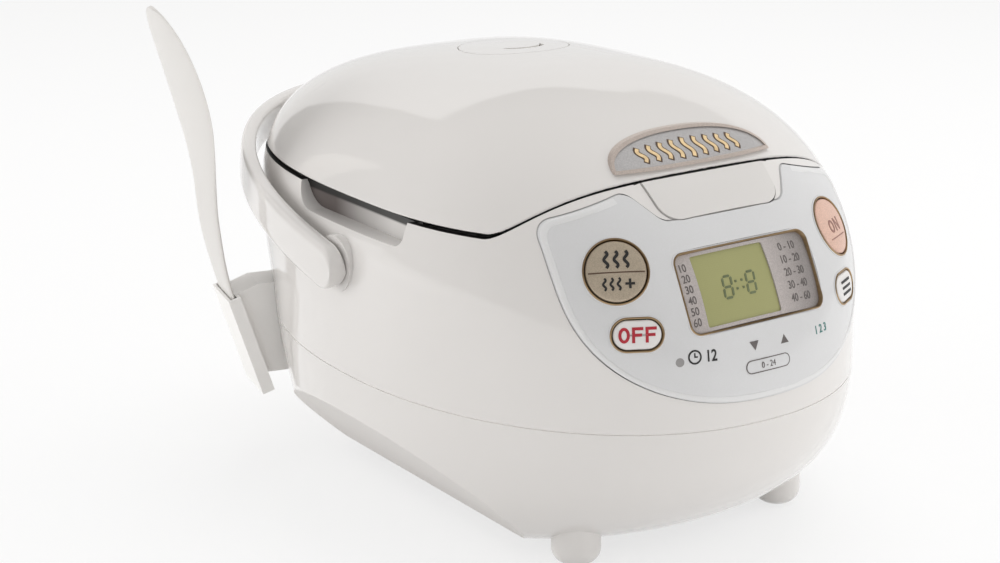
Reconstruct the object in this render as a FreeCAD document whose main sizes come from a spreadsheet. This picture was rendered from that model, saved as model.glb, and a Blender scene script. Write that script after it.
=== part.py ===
import FreeCAD, Part
import math
import os
import re

import Sketcher

V = FreeCAD.Vector
UP = V(0, 0, 1)
RIGHT = V(1, 0, 0)

document = FreeCAD.newDocument("rice_cooker")
sheet = document.addObject("Spreadsheet::Sheet", "sizes")

# Driving dimensions in millimetres and degrees. Heights are above the table. Depths are forward or
# rearward of the line where the front half of the plan meets the rear half.
SIZES = (
    # Egg-shaped outer form
    ("body_width", "240.6", "widest width of the body"),
    ("front_reach", "153.3", "furthest front of the body"),
    ("rear_reach", "174.5", "furthest rear of the body"),
    ("lid_height", "206", "top of the lid"),
    ("underside_height", "8", "flat underside of the base"),
    ("wall", "2.5", "moulded wall"),
    ("front_belly", "72.7", "height of the widest front"),
    ("rear_belly", "116.8", "height of the widest rear"),
    ("side_belly", "42.8", "height of the widest sides"),
    ("front_crown", "2.0", "power of the front curve above its belly"),
    ("rear_crown", "3.66", "power of the rear curve above its belly"),
    ("side_crown", "4.64", "power of the side curve above its belly"),
    ("front_bowl", "2.28", "power of the front curve below its belly"),
    ("rear_bowl", "2.65", "power of the rear curve below its belly"),
    ("side_bowl", "4.0", "power of the side curve below its belly"),
    ("bowl_depth", "19.5", "how far below the underside the bowl would close"),
    ("plan_power_low", "2.0", "squareness of the plan at the table"),
    ("plan_power_mid", "2.17", "squareness of the plan at plan_mid_height"),
    ("plan_power_top", "2.99", "squareness of the plan at the lid top"),
    ("plan_mid_height", "93.6", "height where the plan turns squarer"),
    # Lid line, seam and base
    ("lid_line", "151.2", "lid line at the sides and rear"),
    ("lid_rise", "21.7", "rise of the lid line to the front"),
    ("rise_start", "76.6", "distance forward where the rise starts"),
    ("rise_run", "30.6", "length of the rise"),
    ("lid_gap", "1.6", "gap between lid and body"),
    ("lid_edge", "0.9", "rounding of the lid's lower edge"),
    ("seam_height", "73.3", "joint between base and body"),
    ("seam_groove", "0.5", "height and depth of the groove at that joint"),
    ("bevel_reach", "119", "half width where the base bevel starts"),
    ("bevel_height", "52.5", "height where the base bevel starts"),
    ("bevel_angle", "45.3", "base bevel from the horizontal"),
    # Feet
    ("foot_radius", "11.2", "foot and its pedestal"),
    ("foot_flat", "4", "radius of the flat that stands on the table"),
    ("foot_drop", "8", "height of a foot below its pedestal"),
    ("front_foot_side", "59.4", "front foot, out from the middle"),
    ("front_foot_reach", "93.6", "front foot, forward"),
    ("rear_foot_side", "46", "rear foot, out from the middle"),
    ("rear_foot_reach", "84", "rear foot, rearward"),
    ("pedestal_top", "22", "top of a foot's pedestal inside the base"),
    # Deck, pot and heating
    ("pot_offset", "15", "pot axis, rearward"),
    ("pot_radius", "95.5", "outside of the pot"),
    ("pot_wall", "2", "pot wall"),
    ("pot_floor", "46", "underside of the pot"),
    ("pot_corner", "16", "bottom corner of the pot"),
    ("pot_flange", "100", "radius of the pot's rim"),
    ("flange_thick", "1.5", "thickness of the pot's rim"),
    ("deck_drop", "2.6", "deck below the body's top edge"),
    ("deck_thick", "2.5", "deck plate"),
    ("deck_clearance", "1", "deck hole around the pot's rim"),
    ("liner_clearance", "2.5", "pot to chamber liner"),
    ("liner_wall", "1.2", "chamber liner"),
    ("liner_tread", "0.8", "liner rim under the deck"),
    ("liner_floor_hole", "80", "hole in the liner's floor"),
    ("plate_radius", "75", "heating plate"),
    ("plate_thick", "5", "heating plate"),
    ("plate_hole", "17", "hole for the sensor"),
    ("post_ring", "55", "radius of the ring of plate posts"),
    ("post_radius", "3.5", "plate post"),
    ("screw_radius", "1.5", "shank of every screw"),
    ("screw_head", "3", "head radius of every screw"),
    ("screw_head_height", "1.6", "head height of every screw"),
    ("screw_length", "12", "shank length of every screw"),
    ("screw_room", "1", "screw hole beyond the shank"),
    ("fit_clearance", "0.05", "running fit of pins and screws, on the radius"),
    ("band_height", "20", "side heater band"),
    ("band_level", "85", "bottom of the side heater band"),
    ("band_thick", "1.5", "side heater band"),
    ("seat_gap", "0.3", "gap between pieces that rest near each other"),
    ("plunger_head", "14", "sensor plunger's head"),
    ("plunger_head_height", "3", "sensor plunger's head"),
    ("plunger_stem", "9.9", "sensor plunger's stem"),
    ("plunger_bore", "7.5", "hollow of the stem"),
    ("plunger_length", "20", "length of the stem"),
    ("housing_wall", "2", "sensor housing"),
    ("housing_height", "24", "sensor housing"),
    ("slide_clearance", "0.1", "sliding fit of the sensor stem"),
    ("fuse_length", "14", "thermal fuse clamp"),
    ("fuse_width", "6", "thermal fuse clamp"),
    ("fuse_height", "2.6", "thermal fuse clamp"),
    ("fuse_radius", "1.6", "thermal fuse"),
    # Side grips
    ("grip_front", "37", "front end of the side grip, forward"),
    ("grip_rear", "55", "rear end of the side grip, rearward"),
    ("grip_floor", "139.5", "bottom of the side grip"),
    ("grip_depth_side", "105.5", "back wall of the side grip, out from the middle"),
    ("grip_front_round", "5", "front corner of the side grip"),
    ("grip_rear_round", "15", "rear corner of the side grip"),
    # Control panel
    ("panel_half_width", "83", "panel"),
    ("panel_waist", "144", "height of the panel's widest place"),
    ("panel_drop", "60.5", "panel below its widest place"),
    ("panel_power", "2.6", "squareness of the panel's lower edge"),
    ("panel_shoulder_side", "82.5", "panel's upper corner"),
    ("panel_shoulder", "158.4", "panel's upper corner"),
    ("panel_shoulder_round", "9", "panel's upper corner"),
    ("panel_peak_side", "44", "panel's corner beside the button"),
    ("panel_peak", "168.2", "panel's corner beside the button"),
    ("panel_peak_round", "6", "panel's corner beside the button"),
    ("panel_notch_side", "33.5", "panel's notch under the button"),
    ("panel_notch", "156.8", "panel's notch under the button"),
    ("panel_notch_round", "8", "panel's notch under the button"),
    ("cut_reach", "10", "reach of the display's and button's cuts through the front skin, each way"),
    ("key_reach", "6", "reach of the keys' and lamp's cuts through the front skin, each way"),
    ("panel_proud", "0.6", "panel above the body"),
    ("panel_gap", "0.35", "gap around the panel"),
    ("key_proud", "1.2", "keys and rims above the body"),
    ("key_gap", "0.4", "gap around each key"),
    ("rim_width", "1.4", "rim around each key"),
    ("key_travel", "1.2", "travel of a key"),
    ("round_key_radius", "12.9", "round key"),
    ("round_key_side", "60.8", "round keys, out from the middle"),
    ("round_key_level", "140.7", "round keys"),
    ("long_key_half_width", "10.2", "long key"),
    ("long_key_half_height", "6.1", "long key"),
    ("long_key_roundness", "0.98", "rounding of a long key's ends, as a share of its half height"),
    ("long_key_side", "58.6", "long keys, out from the middle"),
    ("long_key_level", "116", "long keys"),
    ("display_half_width", "38", "display frame"),
    ("display_half_height", "18.5", "display frame"),
    ("display_level", "131", "middle of the display"),
    ("display_round", "6", "display frame's corners"),
    ("display_rim", "1.6", "display frame"),
    ("mask_recess", "0.7", "display mask below the panel"),
    ("glass_half_width", "19.6", "liquid crystal"),
    ("glass_half_height", "15.4", "liquid crystal"),
    ("glass_shift", "8.5", "liquid crystal, left of the middle"),
    ("glass_recess", "1.4", "liquid crystal below the panel"),
    ("glass_round", "1", "liquid crystal's corners"),
    ("lamp_radius", "1.9", "timer lamp"),
    ("lamp_side", "43.6", "timer lamp, left of the middle"),
    ("lamp_level", "103.7", "timer lamp"),
    ("board_half_width", "60", "control board"),
    ("board_half_height", "20.5", "control board"),
    ("board_depth", "22", "control board behind the display"),
    ("board_thick", "1.6", "circuit boards"),
    ("stand_radius", "2.2", "board stand"),
    ("stand_side", "40.6", "board stand"),
    ("stand_rise", "18", "board stand"),
    ("switch_half", "3", "push switch"),
    # Power board
    ("power_half_width", "44", "power board"),
    ("power_front", "98", "front edge of the power board, forward"),
    ("power_rear", "66", "rear edge of the power board, forward"),
    ("power_lift", "7", "power board above the base's floor"),
    ("transformer_side", "17.6", "transformer, left of the middle"),
    ("transformer_half_width", "13.2", "transformer"),
    ("transformer_half_depth", "11.5", "transformer"),
    ("relay_side", "13.2", "relay and heat sink, right of the middle"),
    ("relay_half_width", "8.8", "relay and heat sink"),
    ("relay_front", "91.6", "front of the relay, forward"),
    ("relay_rear", "78.8", "rear of the relay, forward"),
    ("relay_height", "14.4", "relay"),
    ("sink_front", "75.6", "front of the heat sink, forward"),
    ("sink_rear", "71.8", "rear of the heat sink, forward"),
    ("tall_height", "19.2", "transformer, heat sink and capacitor"),
    ("capacitor_side", "31.7", "capacitor, right of the middle"),
    ("capacitor_radius", "4.5", "capacitor"),
    # Badge
    ("badge_half_width", "43.2", "badge on the lid"),
    ("badge_foot", "174.3", "bottom edge of the badge"),
    ("badge_rise", "12.6", "height of the badge"),
    ("badge_power", "2.3", "squareness of the badge's arch"),
    ("badge_rim_width", "1.1", "rim of the badge"),
    # Open button and latch
    ("button_half_width", "34", "open button at its top"),
    ("button_foot_half_width", "32", "open button at its foot"),
    ("button_level", "164", "middle of the open button"),
    ("button_rise", "14", "open button above its middle, along its face, before the lid line trims it"),
    ("button_fall", "9.9", "open button below its middle, along its face"),
    ("button_round", "10", "open button's lower corners"),
    ("button_gap", "0.6", "gap around the open button"),
    ("button_travel", "3.5", "travel of the open button"),
    ("button_room", "9", "room behind the open button, from its face"),
    ("latch_axis_reach", "103", "latch pin, forward"),
    ("latch_axis_level", "143", "latch pin"),
    ("latch_pin_radius", "2", "latch pin"),
    ("latch_half_width", "8", "latch lever"),
    ("latch_boss", "4.2", "latch lever's boss"),
    ("latch_arm", "3", "thickness of the latch lever's arms"),
    ("latch_rise", "14", "hook above the pin"),
    ("latch_nose", "3.6", "reach of the hook's nose"),
    ("latch_foot_reach", "12.5", "front arm of the latch lever"),
    ("latch_foot_rise", "5", "top of the front arm above the pin"),
    ("latch_slack", "0.4", "hook short of the strike"),
    ("ear_thick", "3", "ears that hold the latch pin"),
    ("ear_run", "13", "ears behind the latch pin"),
    ("strike_thick", "2", "strike plate"),
    ("strike_lip", "3", "lip of the strike"),
    ("strike_half_width", "6.5", "strike plate"),
    ("strike_play", "2", "deck slot beside the strike"),
    ("strike_slot_length", "15", "deck slot for the strike and the hook"),
    # Lid hinge
    ("hinge_reach", "160", "hinge pin, rearward"),
    ("hinge_level", "153", "hinge pin"),
    ("hinge_pin_radius", "2.5", "hinge pin"),
    ("hinge_boss", "5", "hinge knuckles"),
    ("hinge_inner", "14", "inner side of the lid's hinge arms"),
    ("hinge_arm", "6", "width of a hinge arm"),
    ("hinge_play", "0.4", "gap beside a hinge arm"),
    ("hinge_sweep", "14.5", "room around the hinge pin for the lid's rear edge"),
    ("hinge_sweep_half_width", "60", "half length of that room"),
    ("hinge_arm_front", "108", "front end of the lid's hinge arms, rearward"),
    ("hinge_arm_height", "4", "lid's hinge arms above the liner"),
    ("notch_run", "12", "liner's notch in front of the hinge's room"),
    ("trough_wall", "2", "wall under that room"),
    ("spring_wire", "1.2", "wire of every coil spring"),
    ("spring_pitch", "1.9", "pitch of the hinge spring"),
    # Lid's inside
    ("lid_liner_thick", "2.5", "lid liner"),
    ("gasket_outer", "99", "lid gasket"),
    ("gasket_inner", "92", "lid gasket"),
    ("gasket_height", "3", "lid gasket"),
    ("inner_lid_thick", "1.5", "inner lid"),
    ("rib_half", "2", "rib of the lid liner above the gasket, half width"),
    ("lid_plate_radius", "84", "lid heater"),
    ("lid_plate_thick", "1", "lid heater"),
    ("lid_boss", "4", "screw bosses in the lid"),
    ("front_boss_side", "82", "front screw bosses, out from the middle"),
    ("front_boss_reach", "56", "front screw bosses, forward"),
    ("rear_boss_side", "74", "rear screw bosses, out from the middle"),
    ("rear_boss_reach", "98", "rear screw bosses, rearward"),
    ("knob_radius", "9", "knob that holds the inner lid"),
    ("knob_face", "7.2", "radius of the knob's flat face"),
    ("knob_drop", "5", "knob below the inner lid"),
    ("knob_stem", "3", "stem of the knob"),
    ("knob_shift", "30", "knob in front of the pot axis"),
    # Steam vent
    ("vent_offset", "38", "steam vent, rearward"),
    ("vent_radius", "26.5", "steam vent cap"),
    ("vent_gap", "0.5", "gap around the cap"),
    ("vent_floor", "193", "floor of the vent's well"),
    ("vent_stem", "6.5", "stem of the cap"),
    ("vent_stem_length", "14", "stem of the cap"),
    ("vent_tube_wall", "2", "steam tube"),
    ("vent_slot_radius", "15", "crescent slot"),
    ("vent_slot_width", "2.6", "crescent slot"),
    ("vent_slot_spread", "11", "half length of the crescent slot"),
    # Handle
    ("pivot_reach", "8", "handle pivot, rearward"),
    ("pivot_level", "123", "handle pivot"),
    ("pivot_radius", "5", "handle pivot pin"),
    ("pivot_flange", "9", "head of the pivot pin"),
    ("pivot_flange_thick", "3", "head of the pivot pin"),
    ("pivot_boss", "13", "boss on the body"),
    ("pivot_boss_length", "7.6", "boss on the body"),
    ("handle_half_width", "128.5", "handle, outside"),
    ("handle_reach", "187", "handle from its pivot to its outer edge"),
    ("handle_thick", "8.5", "handle"),
    ("handle_power", "2.2", "squareness of the handle's bow"),
    ("handle_height", "21", "handle's arms at the pivot"),
    ("handle_tail_height", "16.5", "handle's bow"),
    ("handle_tilt", "10.7", "handle above the horizontal when stowed"),
    ("handle_play", "0.4", "handle to the boss"),
    ("pivot_skin", "1.7", "handle outside the blind pivot hole"),
    # Spatula and its holder
    ("holder_turn", "76.9", "holder's direction round the body"),
    ("holder_side", "96", "holder's place, left of the middle"),
    ("holder_reach", "103", "holder's place, rearward"),
    ("pocket_out", "11.5", "bottom of the pocket, out from the body"),
    ("pocket_level", "35", "bottom of the pocket"),
    ("pocket_tilt", "17.4", "lean of the pocket"),
    ("pocket_length", "52", "pocket"),
    ("pocket_wall", "1.5", "pocket"),
    ("pocket_clearance", "0.4", "spatula in its pocket"),
    ("bracket_half_width", "10", "bracket between pocket and body"),
    ("bracket_low", "43.5", "bracket"),
    ("bracket_high", "89.5", "bracket"),
    ("spatula_thick", "2.4", "spatula"),
    ("spatula_grip", "14", "half width of the spatula's grip"),
    ("spatula_blade", "26.6", "half width of the spatula's blade"),
    ("spatula_straight", "45", "straight stretch of the spatula"),
    ("spatula_neck", "57", "length of the spatula's first bend"),
    ("spatula_neck_tilt", "2.1", "lean at the spatula's neck"),
    ("spatula_bow", "95.5", "length of the spatula's second bend"),
    ("spatula_tip_tilt", "27.6", "lean at the spatula's tip"),
    ("spatula_waist", "11.4", "half width of the spatula's neck"),
    ("spatula_waist_rise", "42", "that place above the grip"),
    ("blade_low_half", "15.7", "half width where the blade starts to widen"),
    ("blade_low_rise", "63", "that place above the grip"),
    ("blade_mid_half", "23.4", "half width below the widest place"),
    ("blade_mid_rise", "83", "that place above the grip"),
    ("blade_wide_rise", "110", "widest place above the grip"),
    ("blade_top_half", "22.5", "half width near the tip"),
    ("blade_top_drop", "8", "that place below the tip"),
    # Cord outlet
    ("outlet_side", "52", "cord outlet, right of the middle"),
    ("outlet_level", "95", "cord outlet"),
    ("outlet_half_width", "13", "cord outlet"),
    ("outlet_half_height", "7", "cord outlet"),
    ("outlet_slot_half_width", "4.2", "slot for the cord"),
    ("outlet_slot_half_height", "2.4", "slot for the cord"),
)
ALIAS_WORDS = re.compile(r"\b(" + "|".join(alias for alias, _, _ in SIZES) + r")\b")

for row, (alias, number, note) in enumerate(SIZES, start=1):
    sheet.set(f"A{row}", note)
    sheet.set(f"B{row}", number)
    sheet.setAlias(f"B{row}", alias)
document.recompute()

# Levels and places that several pieces share, as sheet expressions
HALF_WIDTH = "(body_width / 2)"
FLANGE_LEVEL = "(lid_line - lid_gap / 2 - deck_drop - deck_thick)"
LID_FLOOR = "(lid_line + lid_gap / 2)"
LID_DECK = "(lid_line + lid_gap / 2 + lid_liner_thick)"
GASKET_FOOT = "(lid_line - lid_gap / 2 - deck_drop - deck_thick + flange_thick + seat_gap)"
GASKET_TOP = GASKET_FOOT.replace(")", " + gasket_height)")
BASE_FLOOR = "(underside_height + wall)"
PLATE_UNDERSIDE = "(pot_floor - plate_thick)"
LINER_RADIUS = "(pot_radius + liner_clearance)"
DECK_HOLE = "(pot_flange + deck_clearance)"
WIDE = "(body_width + front_reach + rear_reach)"
FORM_LEVELS = 22
FORM_POINTS = 36
CURVE_POINTS = 24
CAP_DROP = 0.05
TOLERANCE = 0.1

pieces = {}


def value(expression):
    """Number that a sheet expression gives."""
    return float(sheet.evalExpression(expression))


def bind(item, name, expression):
    """Tie one property of an object to the sheet."""
    item.setExpression(name, ALIAS_WORDS.sub(r"sizes.\1", expression))


def keep(item):
    """Hand an object in as a piece, under its own label."""
    pieces[item.Label] = item
    return item


def place(item, x, y, z):
    """Tie an object's base point to three expressions."""
    for axis, expression in zip("xyz", (x, y, z)):
        bind(item, f"Placement.Base.{axis}", expression)


def set_at(item, base, rotation):
    """Put an object at a place worked out from the form, instead of tied expressions."""
    for axis in "xyz":
        item.setExpression(f"Placement.Base.{axis}", None)
    item.Placement = FreeCAD.Placement(base, rotation)
    return item


def cylinder(name, radius, length, x="0", y="0", z="0", axis=UP):
    """Cylinder that starts at a point and runs along an axis."""
    item = document.addObject("Part::Cylinder", name)
    item.Placement.Rotation = FreeCAD.Rotation(UP, axis)
    bind(item, "Radius", radius)
    bind(item, "Height", length)
    place(item, x, y, z)
    return item


def box(name, x, y, z):
    """Box between three pairs of expressions."""
    item = document.addObject("Part::Box", name)
    for side, (low, high) in zip(("Length", "Width", "Height"), (x, y, z)):
        bind(item, side, f"({high}) - ({low})")
    place(item, x[0], y[0], z[0])
    return item


def fuse(name, *items):
    """Union of objects."""
    item = document.addObject("Part::MultiFuse", name)
    item.Refine = False
    item.Shapes = list(items)
    return item


def cut(name, base, *tools):
    """Object less one or more tools."""
    for index, tool in enumerate(tools, start=1):
        last = index == len(tools)
        item = document.addObject("Part::Cut", name if last else f"{name}_cut_{index}")
        item.Refine = False
        item.Base = base
        item.Tool = tool
        base = item
    return base


def common(name, first, second):
    """Space that two objects share."""
    item = document.addObject("Part::Common", name)
    item.Refine = False
    item.Base = first
    item.Tool = second
    return item


def group(name, *items):
    """Separate solids handed in together."""
    item = document.addObject("Part::Compound", name)
    item.Links = list(items)
    return item


def mirror(name, source):
    """Copy on the other side of the middle plane."""
    item = document.addObject("Part::Mirroring", name)
    item.Source = source
    item.Normal = RIGHT
    return item


def pair(name, source):
    """An object and its mirrored copy."""
    return group(name, source, mirror(f"{name}_mirrored", source))


def ring(name, outer, inner, length, x="0", y="0", z="0", axis=UP):
    """Tube between two radii."""
    core = cylinder(f"{name}_core", inner, length, x, y, z, axis)
    return cut(name, cylinder(f"{name}_outer", outer, length, x, y, z, axis), core)


def shaped(name, shape):
    """Object with a shape worked out from the sheet's sizes."""
    item = document.addObject("Part::Feature", name)
    item.Shape = shape
    return item


def outline_sketch(body, name, role, corners):
    """Closed outline through corners, each tied to a pair of expressions."""
    sketch = body.newObject("Sketcher::SketchObject", name)
    plane = next(item for item in body.Origin.OriginFeatures if item.Role == role)
    sketch.AttachmentSupport = [(plane, "")]
    sketch.MapMode = "FlatFace"
    points = [V(value(a), value(b), 0) for a, b in corners]
    count = len(points)
    for index, point in enumerate(points):
        sketch.addGeometry(Part.LineSegment(point, points[(index + 1) % count]), False)
    for index in range(count):
        follower = (index + 1) % count
        sketch.addConstraint(Sketcher.Constraint("Coincident", index, 2, follower, 1))
    for index, corner in enumerate(corners):
        for kind, expression in zip(("DistanceX", "DistanceY"), corner):
            size = Sketcher.Constraint(kind, -1, 1, index, 1, value(expression))
            bind(sketch, f"Constraints[{sketch.addConstraint(size)}]", expression)
    return sketch


def turned(name, corners, x="0", y="0"):
    """Body turned about a vertical axis, from radius and height pairs."""
    body = document.addObject("PartDesign::Body", name)
    sketch = outline_sketch(body, f"{name}_profile", "XZ_Plane", corners)
    turn = body.newObject("PartDesign::Revolution", f"{name}_turn")
    turn.Profile = sketch
    turn.ReferenceAxis = (sketch, ["V_Axis"])
    turn.Angle = 360
    place(body, x, y, "0")
    return body


def round_bottom(body, radius):
    """Round the bottom edge of a turned body."""
    document.recompute()
    blank = body.Tip
    low = min(edge.BoundBox.ZMax for edge in blank.Shape.Edges)
    edges = [
        f"Edge{index + 1}" for index, edge in enumerate(blank.Shape.Edges)
        if edge.BoundBox.ZMax < low + TOLERANCE and isinstance(edge.Curve, Part.Circle)
    ]
    fillet = body.newObject("PartDesign::Fillet", f"{body.Name}_corner")
    fillet.Base = (blank, edges)
    bind(fillet, "Radius", radius)


def pressed(name, corners, half_width):
    """Body padded both ways from the middle plane, from depth and height pairs."""
    body = document.addObject("PartDesign::Body", name)
    sketch = outline_sketch(body, f"{name}_profile", "YZ_Plane", corners)
    pad = body.newObject("PartDesign::Pad", f"{name}_pad")
    pad.Profile = sketch
    pad.SideType = "Symmetric"
    bind(pad, "Length", f"2 * ({half_width})")
    return body


def coil(name, radius, length, pitch, placement):
    """Coil spring of the common wire along its own axis."""
    helix = document.addObject("Part::Helix", f"{name}_path")
    section = document.addObject("Part::Circle", f"{name}_section")
    bind(helix, "Radius", radius)
    bind(helix, "Pitch", pitch)
    bind(helix, "Height", length)
    bind(section, "Radius", "spring_wire / 2")
    section.Placement.Rotation = FreeCAD.Rotation(RIGHT, 90)
    bind(section, "Placement.Base.x", radius)
    document.recompute()
    spring = document.addObject("Part::Sweep", name)
    spring.Sections = [section]
    spring.Spine = (helix, [f"Edge{index + 1}" for index in range(len(helix.Shape.Edges))])
    spring.Solid = True
    spring.Frenet = True
    spring.Placement = placement
    return spring


def rounded_path(points, radii, closed=False):
    """Edges of a path whose corners are rounded, one radius for each corner."""
    count = len(points)
    starts, ends, arcs = [], [], []
    for index, (point, radius) in enumerate(zip(points, radii)):
        if radius == 0:
            starts.append(point)
            ends.append(point)
            arcs.append(None)
            continue
        before = (points[index - 1] - point).normalize()
        after = (points[(index + 1) % count] - point).normalize()
        half = before.getAngle(after) / 2
        reach = radius / math.tan(half)
        middle = (before + after).normalize()
        crown = point + middle * (radius / math.sin(half) - radius)
        starts.append(point + before * reach)
        ends.append(point + after * reach)
        arcs.append(Part.Arc(starts[-1], crown, ends[-1]).toShape())
    edges = []
    for index in range(count):
        if arcs[index]:
            edges.append(arcs[index])
        if index + 1 < count or closed:
            edges.append(Part.makeLine(ends[index], starts[(index + 1) % count]))
    return edges


def smooth(points):
    """Curve through points."""
    curve = Part.BSplineCurve()
    curve.interpolate(points)
    return curve.toShape()


def grown(edges, margin):
    """Closed outline moved out by a margin, or in by a negative one."""
    face = Part.Face(Part.Wire(Part.__sortEdges__(edges)))
    outline = []
    for edge in face.makeOffset2D(margin).OuterWire.Edges:
        plain = isinstance(edge.Curve, (Part.Line, Part.Circle))
        outline.append(edge if plain else smooth(edge.discretize(2 * CURVE_POINTS)))
    return outline


def prism(name, edges, start, along):
    """Solid swept straight from a closed outline that is first moved to its start."""
    face = Part.Face(Part.Wire(Part.__sortEdges__(edges)))
    face.translate(start)
    return shaped(name, face.extrude(along))


# The egg-shaped form


def profile_reach(level, widest, belly, top, crown, close, bowl):
    """Distance from the middle to the form's surface at one height."""
    if level >= belly:
        share = ((level - belly) / (top - belly)) ** crown
    else:
        share = ((belly - level) / (belly - close)) ** bowl
    return widest * math.sqrt(max(0.0, 1.0 - share))


def plan_at(level, offset=0.0):
    """Half width, front reach, rear reach and squareness of the form at one height."""
    top = value("lid_height") + offset
    close = value("underside_height - bowl_depth") - offset
    reaches = []
    for side, widest in (("side", HALF_WIDTH), ("front", "front_reach"), ("rear", "rear_reach")):
        belly, crown, bowl = (value(f"{side}_{word}") for word in ("belly", "crown", "bowl"))
        reaches.append(profile_reach(level, value(widest) + offset, belly, top, crown, close, bowl))
    middle, power = value("plan_mid_height"), value("plan_power_mid")
    if level > middle:
        power += (value("plan_power_top") - power) * (level - middle) / (top - middle)
    else:
        power += (value("plan_power_low") - power) * (middle - level) / middle
    return (*reaches, power)


def form(name, offset):
    """The whole egg shape, stood off from the outer surface."""
    stand = value(offset)
    low = value("underside_height") - stand
    rise = value("lid_height") + stand - low
    last = math.asin(1 - CAP_DROP / rise)
    knots = [index / FORM_POINTS for index in range(FORM_POINTS + 1)]
    sections = []
    for step in range(FORM_LEVELS):
        level = low + rise * math.sin(last * step / (FORM_LEVELS - 1))
        side, front, rear, power = plan_at(level, stand)
        points = []
        for index in range(FORM_POINTS):
            angle = 2 * math.pi * index / FORM_POINTS - math.pi / 2
            east, north = math.cos(angle), math.sin(angle)
            depth = front if north < 0 else rear
            share = abs(east / side) ** power + abs(north / depth) ** power
            radius = share ** (-1 / power)
            points.append(V(radius * east, radius * north, level))
        curve = Part.BSplineCurve()
        curve.interpolate(Points=points, PeriodicFlag=True, Parameters=knots)
        sections.append(Part.Wire(curve.toShape()))
    return shaped(name, Part.makeLoft(sections, True, False))


def front_depth(x, level):
    """Depth of the outer surface on the front."""
    side, front, _, power = plan_at(level)
    return -front * (1 - (abs(x) / side) ** power) ** (1 / power)


def front_seat(x, level):
    """Placement on the front surface: x along it, y up it and z straight out."""
    step = 0.5
    point = V(x, front_depth(x, level), level)
    across = V(2 * step, front_depth(x + step, level) - front_depth(x - step, level), 0)
    along = V(0, front_depth(x, level + step) - front_depth(x, level - step), 2 * step)
    out = across.cross(along).normalize()
    east = V(-out.y, out.x, 0).normalize()
    north = out.cross(east)
    matrix = FreeCAD.Matrix(
        east.x, north.x, out.x, point.x, east.y, north.y, out.y, point.y, east.z, north.z, out.z, point.z
    )
    return FreeCAD.Placement(matrix)


def lid_curve(offset):
    """Side view of the lid line, moved up, from the rear to the front."""
    low = value("lid_line") + offset
    high = low + value("lid_rise")
    start, run, span = value("rise_start"), value("rise_run"), value(WIDE)
    rise = Part.BezierCurve()
    rise.setPoles([
        V(0, -start, low), V(0, -start - run / 3, low), V(0, -start - run * 2 / 3, high),
        V(0, -start - run, high)
    ])
    rear = Part.makeLine(V(0, span, low), V(0, -start, low))
    front = Part.makeLine(V(0, -start - run, high), V(0, -span, high))
    return [rear, rise.toShape(), front]


def layer(name, low, high):
    """Space across the whole width between two side-view runs."""
    ends = []
    for run in (low, high):
        ends.append((run[0].Vertexes[0].Point, run[-1].Vertexes[-1].Point))
    sides = [Part.makeLine(ends[0][index], ends[1][index]) for index in (0, 1)]
    span = value(WIDE)
    return prism(name, [*low, *high, *sides], V(-span / 2, 0, 0), V(span, 0, 0))


def level_run(level):
    """Flat side-view run at one height, from the rear to the front."""
    span = value(WIDE)
    return [Part.makeLine(V(0, span, level), V(0, -span, level))]


outer_form = form("outer_form", "0")
inner_form = form("inner_form", "-wall")
panel_form = form("panel_form", "panel_proud")
key_form = form("key_form", "key_proud")
shell_wall = cut("shell_wall", outer_form, inner_form)
half_gap = value("lid_gap / 2")
deck_top = -value("lid_gap / 2 + deck_drop")
body_layer = layer("body_layer", level_run(value("seam_height")), lid_curve(-half_gap))
lid_layer = layer("lid_layer", lid_curve(half_gap), level_run(value(WIDE)))
deck_layer = layer("deck_layer", lid_curve(deck_top - value("deck_thick")), lid_curve(deck_top))
under_deck = layer("under_deck", level_run(0), lid_curve(deck_top))
liner_layer = layer("liner_layer", lid_curve(half_gap), lid_curve(half_gap + value("lid_liner_thick")))
under_liner = layer("under_liner", level_run(0), lid_curve(half_gap + value("lid_liner_thick")))


# Openings that more than one piece is cut by


def grip_prism(name, margin, back):
    """Left and right side grip, grown by a margin, from a back wall outward."""
    front, rear = -value("grip_front") - margin, value("grip_rear") + margin
    low, high = value("grip_floor") - margin, value("lid_height")
    corners = [V(0, front, low), V(0, rear, low), V(0, rear, high), V(0, front, high)]
    radii = [value("grip_front_round") + margin, value("grip_rear_round") + margin, 0, 0]
    right = prism(f"{name}_right", rounded_path(corners, radii, True), V(back, 0, 0),
                  V(value(HALF_WIDTH), 0, 0))
    return fuse(name, right, mirror(f"{name}_left", right))


def half_oval(power):
    """Half of a squarish oval of unit size, as shares across and along, from right to left."""
    shares = []
    for index in range(CURVE_POINTS + 1):
        angle = math.pi * index / CURVE_POINTS
        east, along = math.cos(angle), max(0.0, math.sin(angle))
        shares.append((math.copysign(abs(east) ** (2 / power), east), along ** (2 / power)))
    return shares


def panel_edges(margin):
    """Front view of the control panel, grown by a margin."""
    half, waist, drop = value("panel_half_width"), value("panel_waist"), value("panel_drop")
    points = []
    for east, south in half_oval(value("panel_power")):
        points.append(V(half * east, 0, waist - drop * south))
    names = ("shoulder", "peak", "notch")
    right = [V(value(f"panel_{name}_side"), 0, value(f"panel_{name}")) for name in names]
    left = [V(-point.x, 0, point.z) for point in reversed(right)]
    rounds = [value(f"panel_{name}_round") for name in names]
    upper = rounded_path([points[0], *right, *left, points[-1]], [0, *rounds, *reversed(rounds), 0])
    edges = [smooth(points), *upper]
    return grown(edges, margin) if margin else edges


def front_prism(name, edges):
    """Front-view outline swept through the front of the body."""
    reach = value("front_reach")
    return prism(name, edges, V(0, -2 * reach, 0), V(0, 2 * reach, 0))


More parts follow.
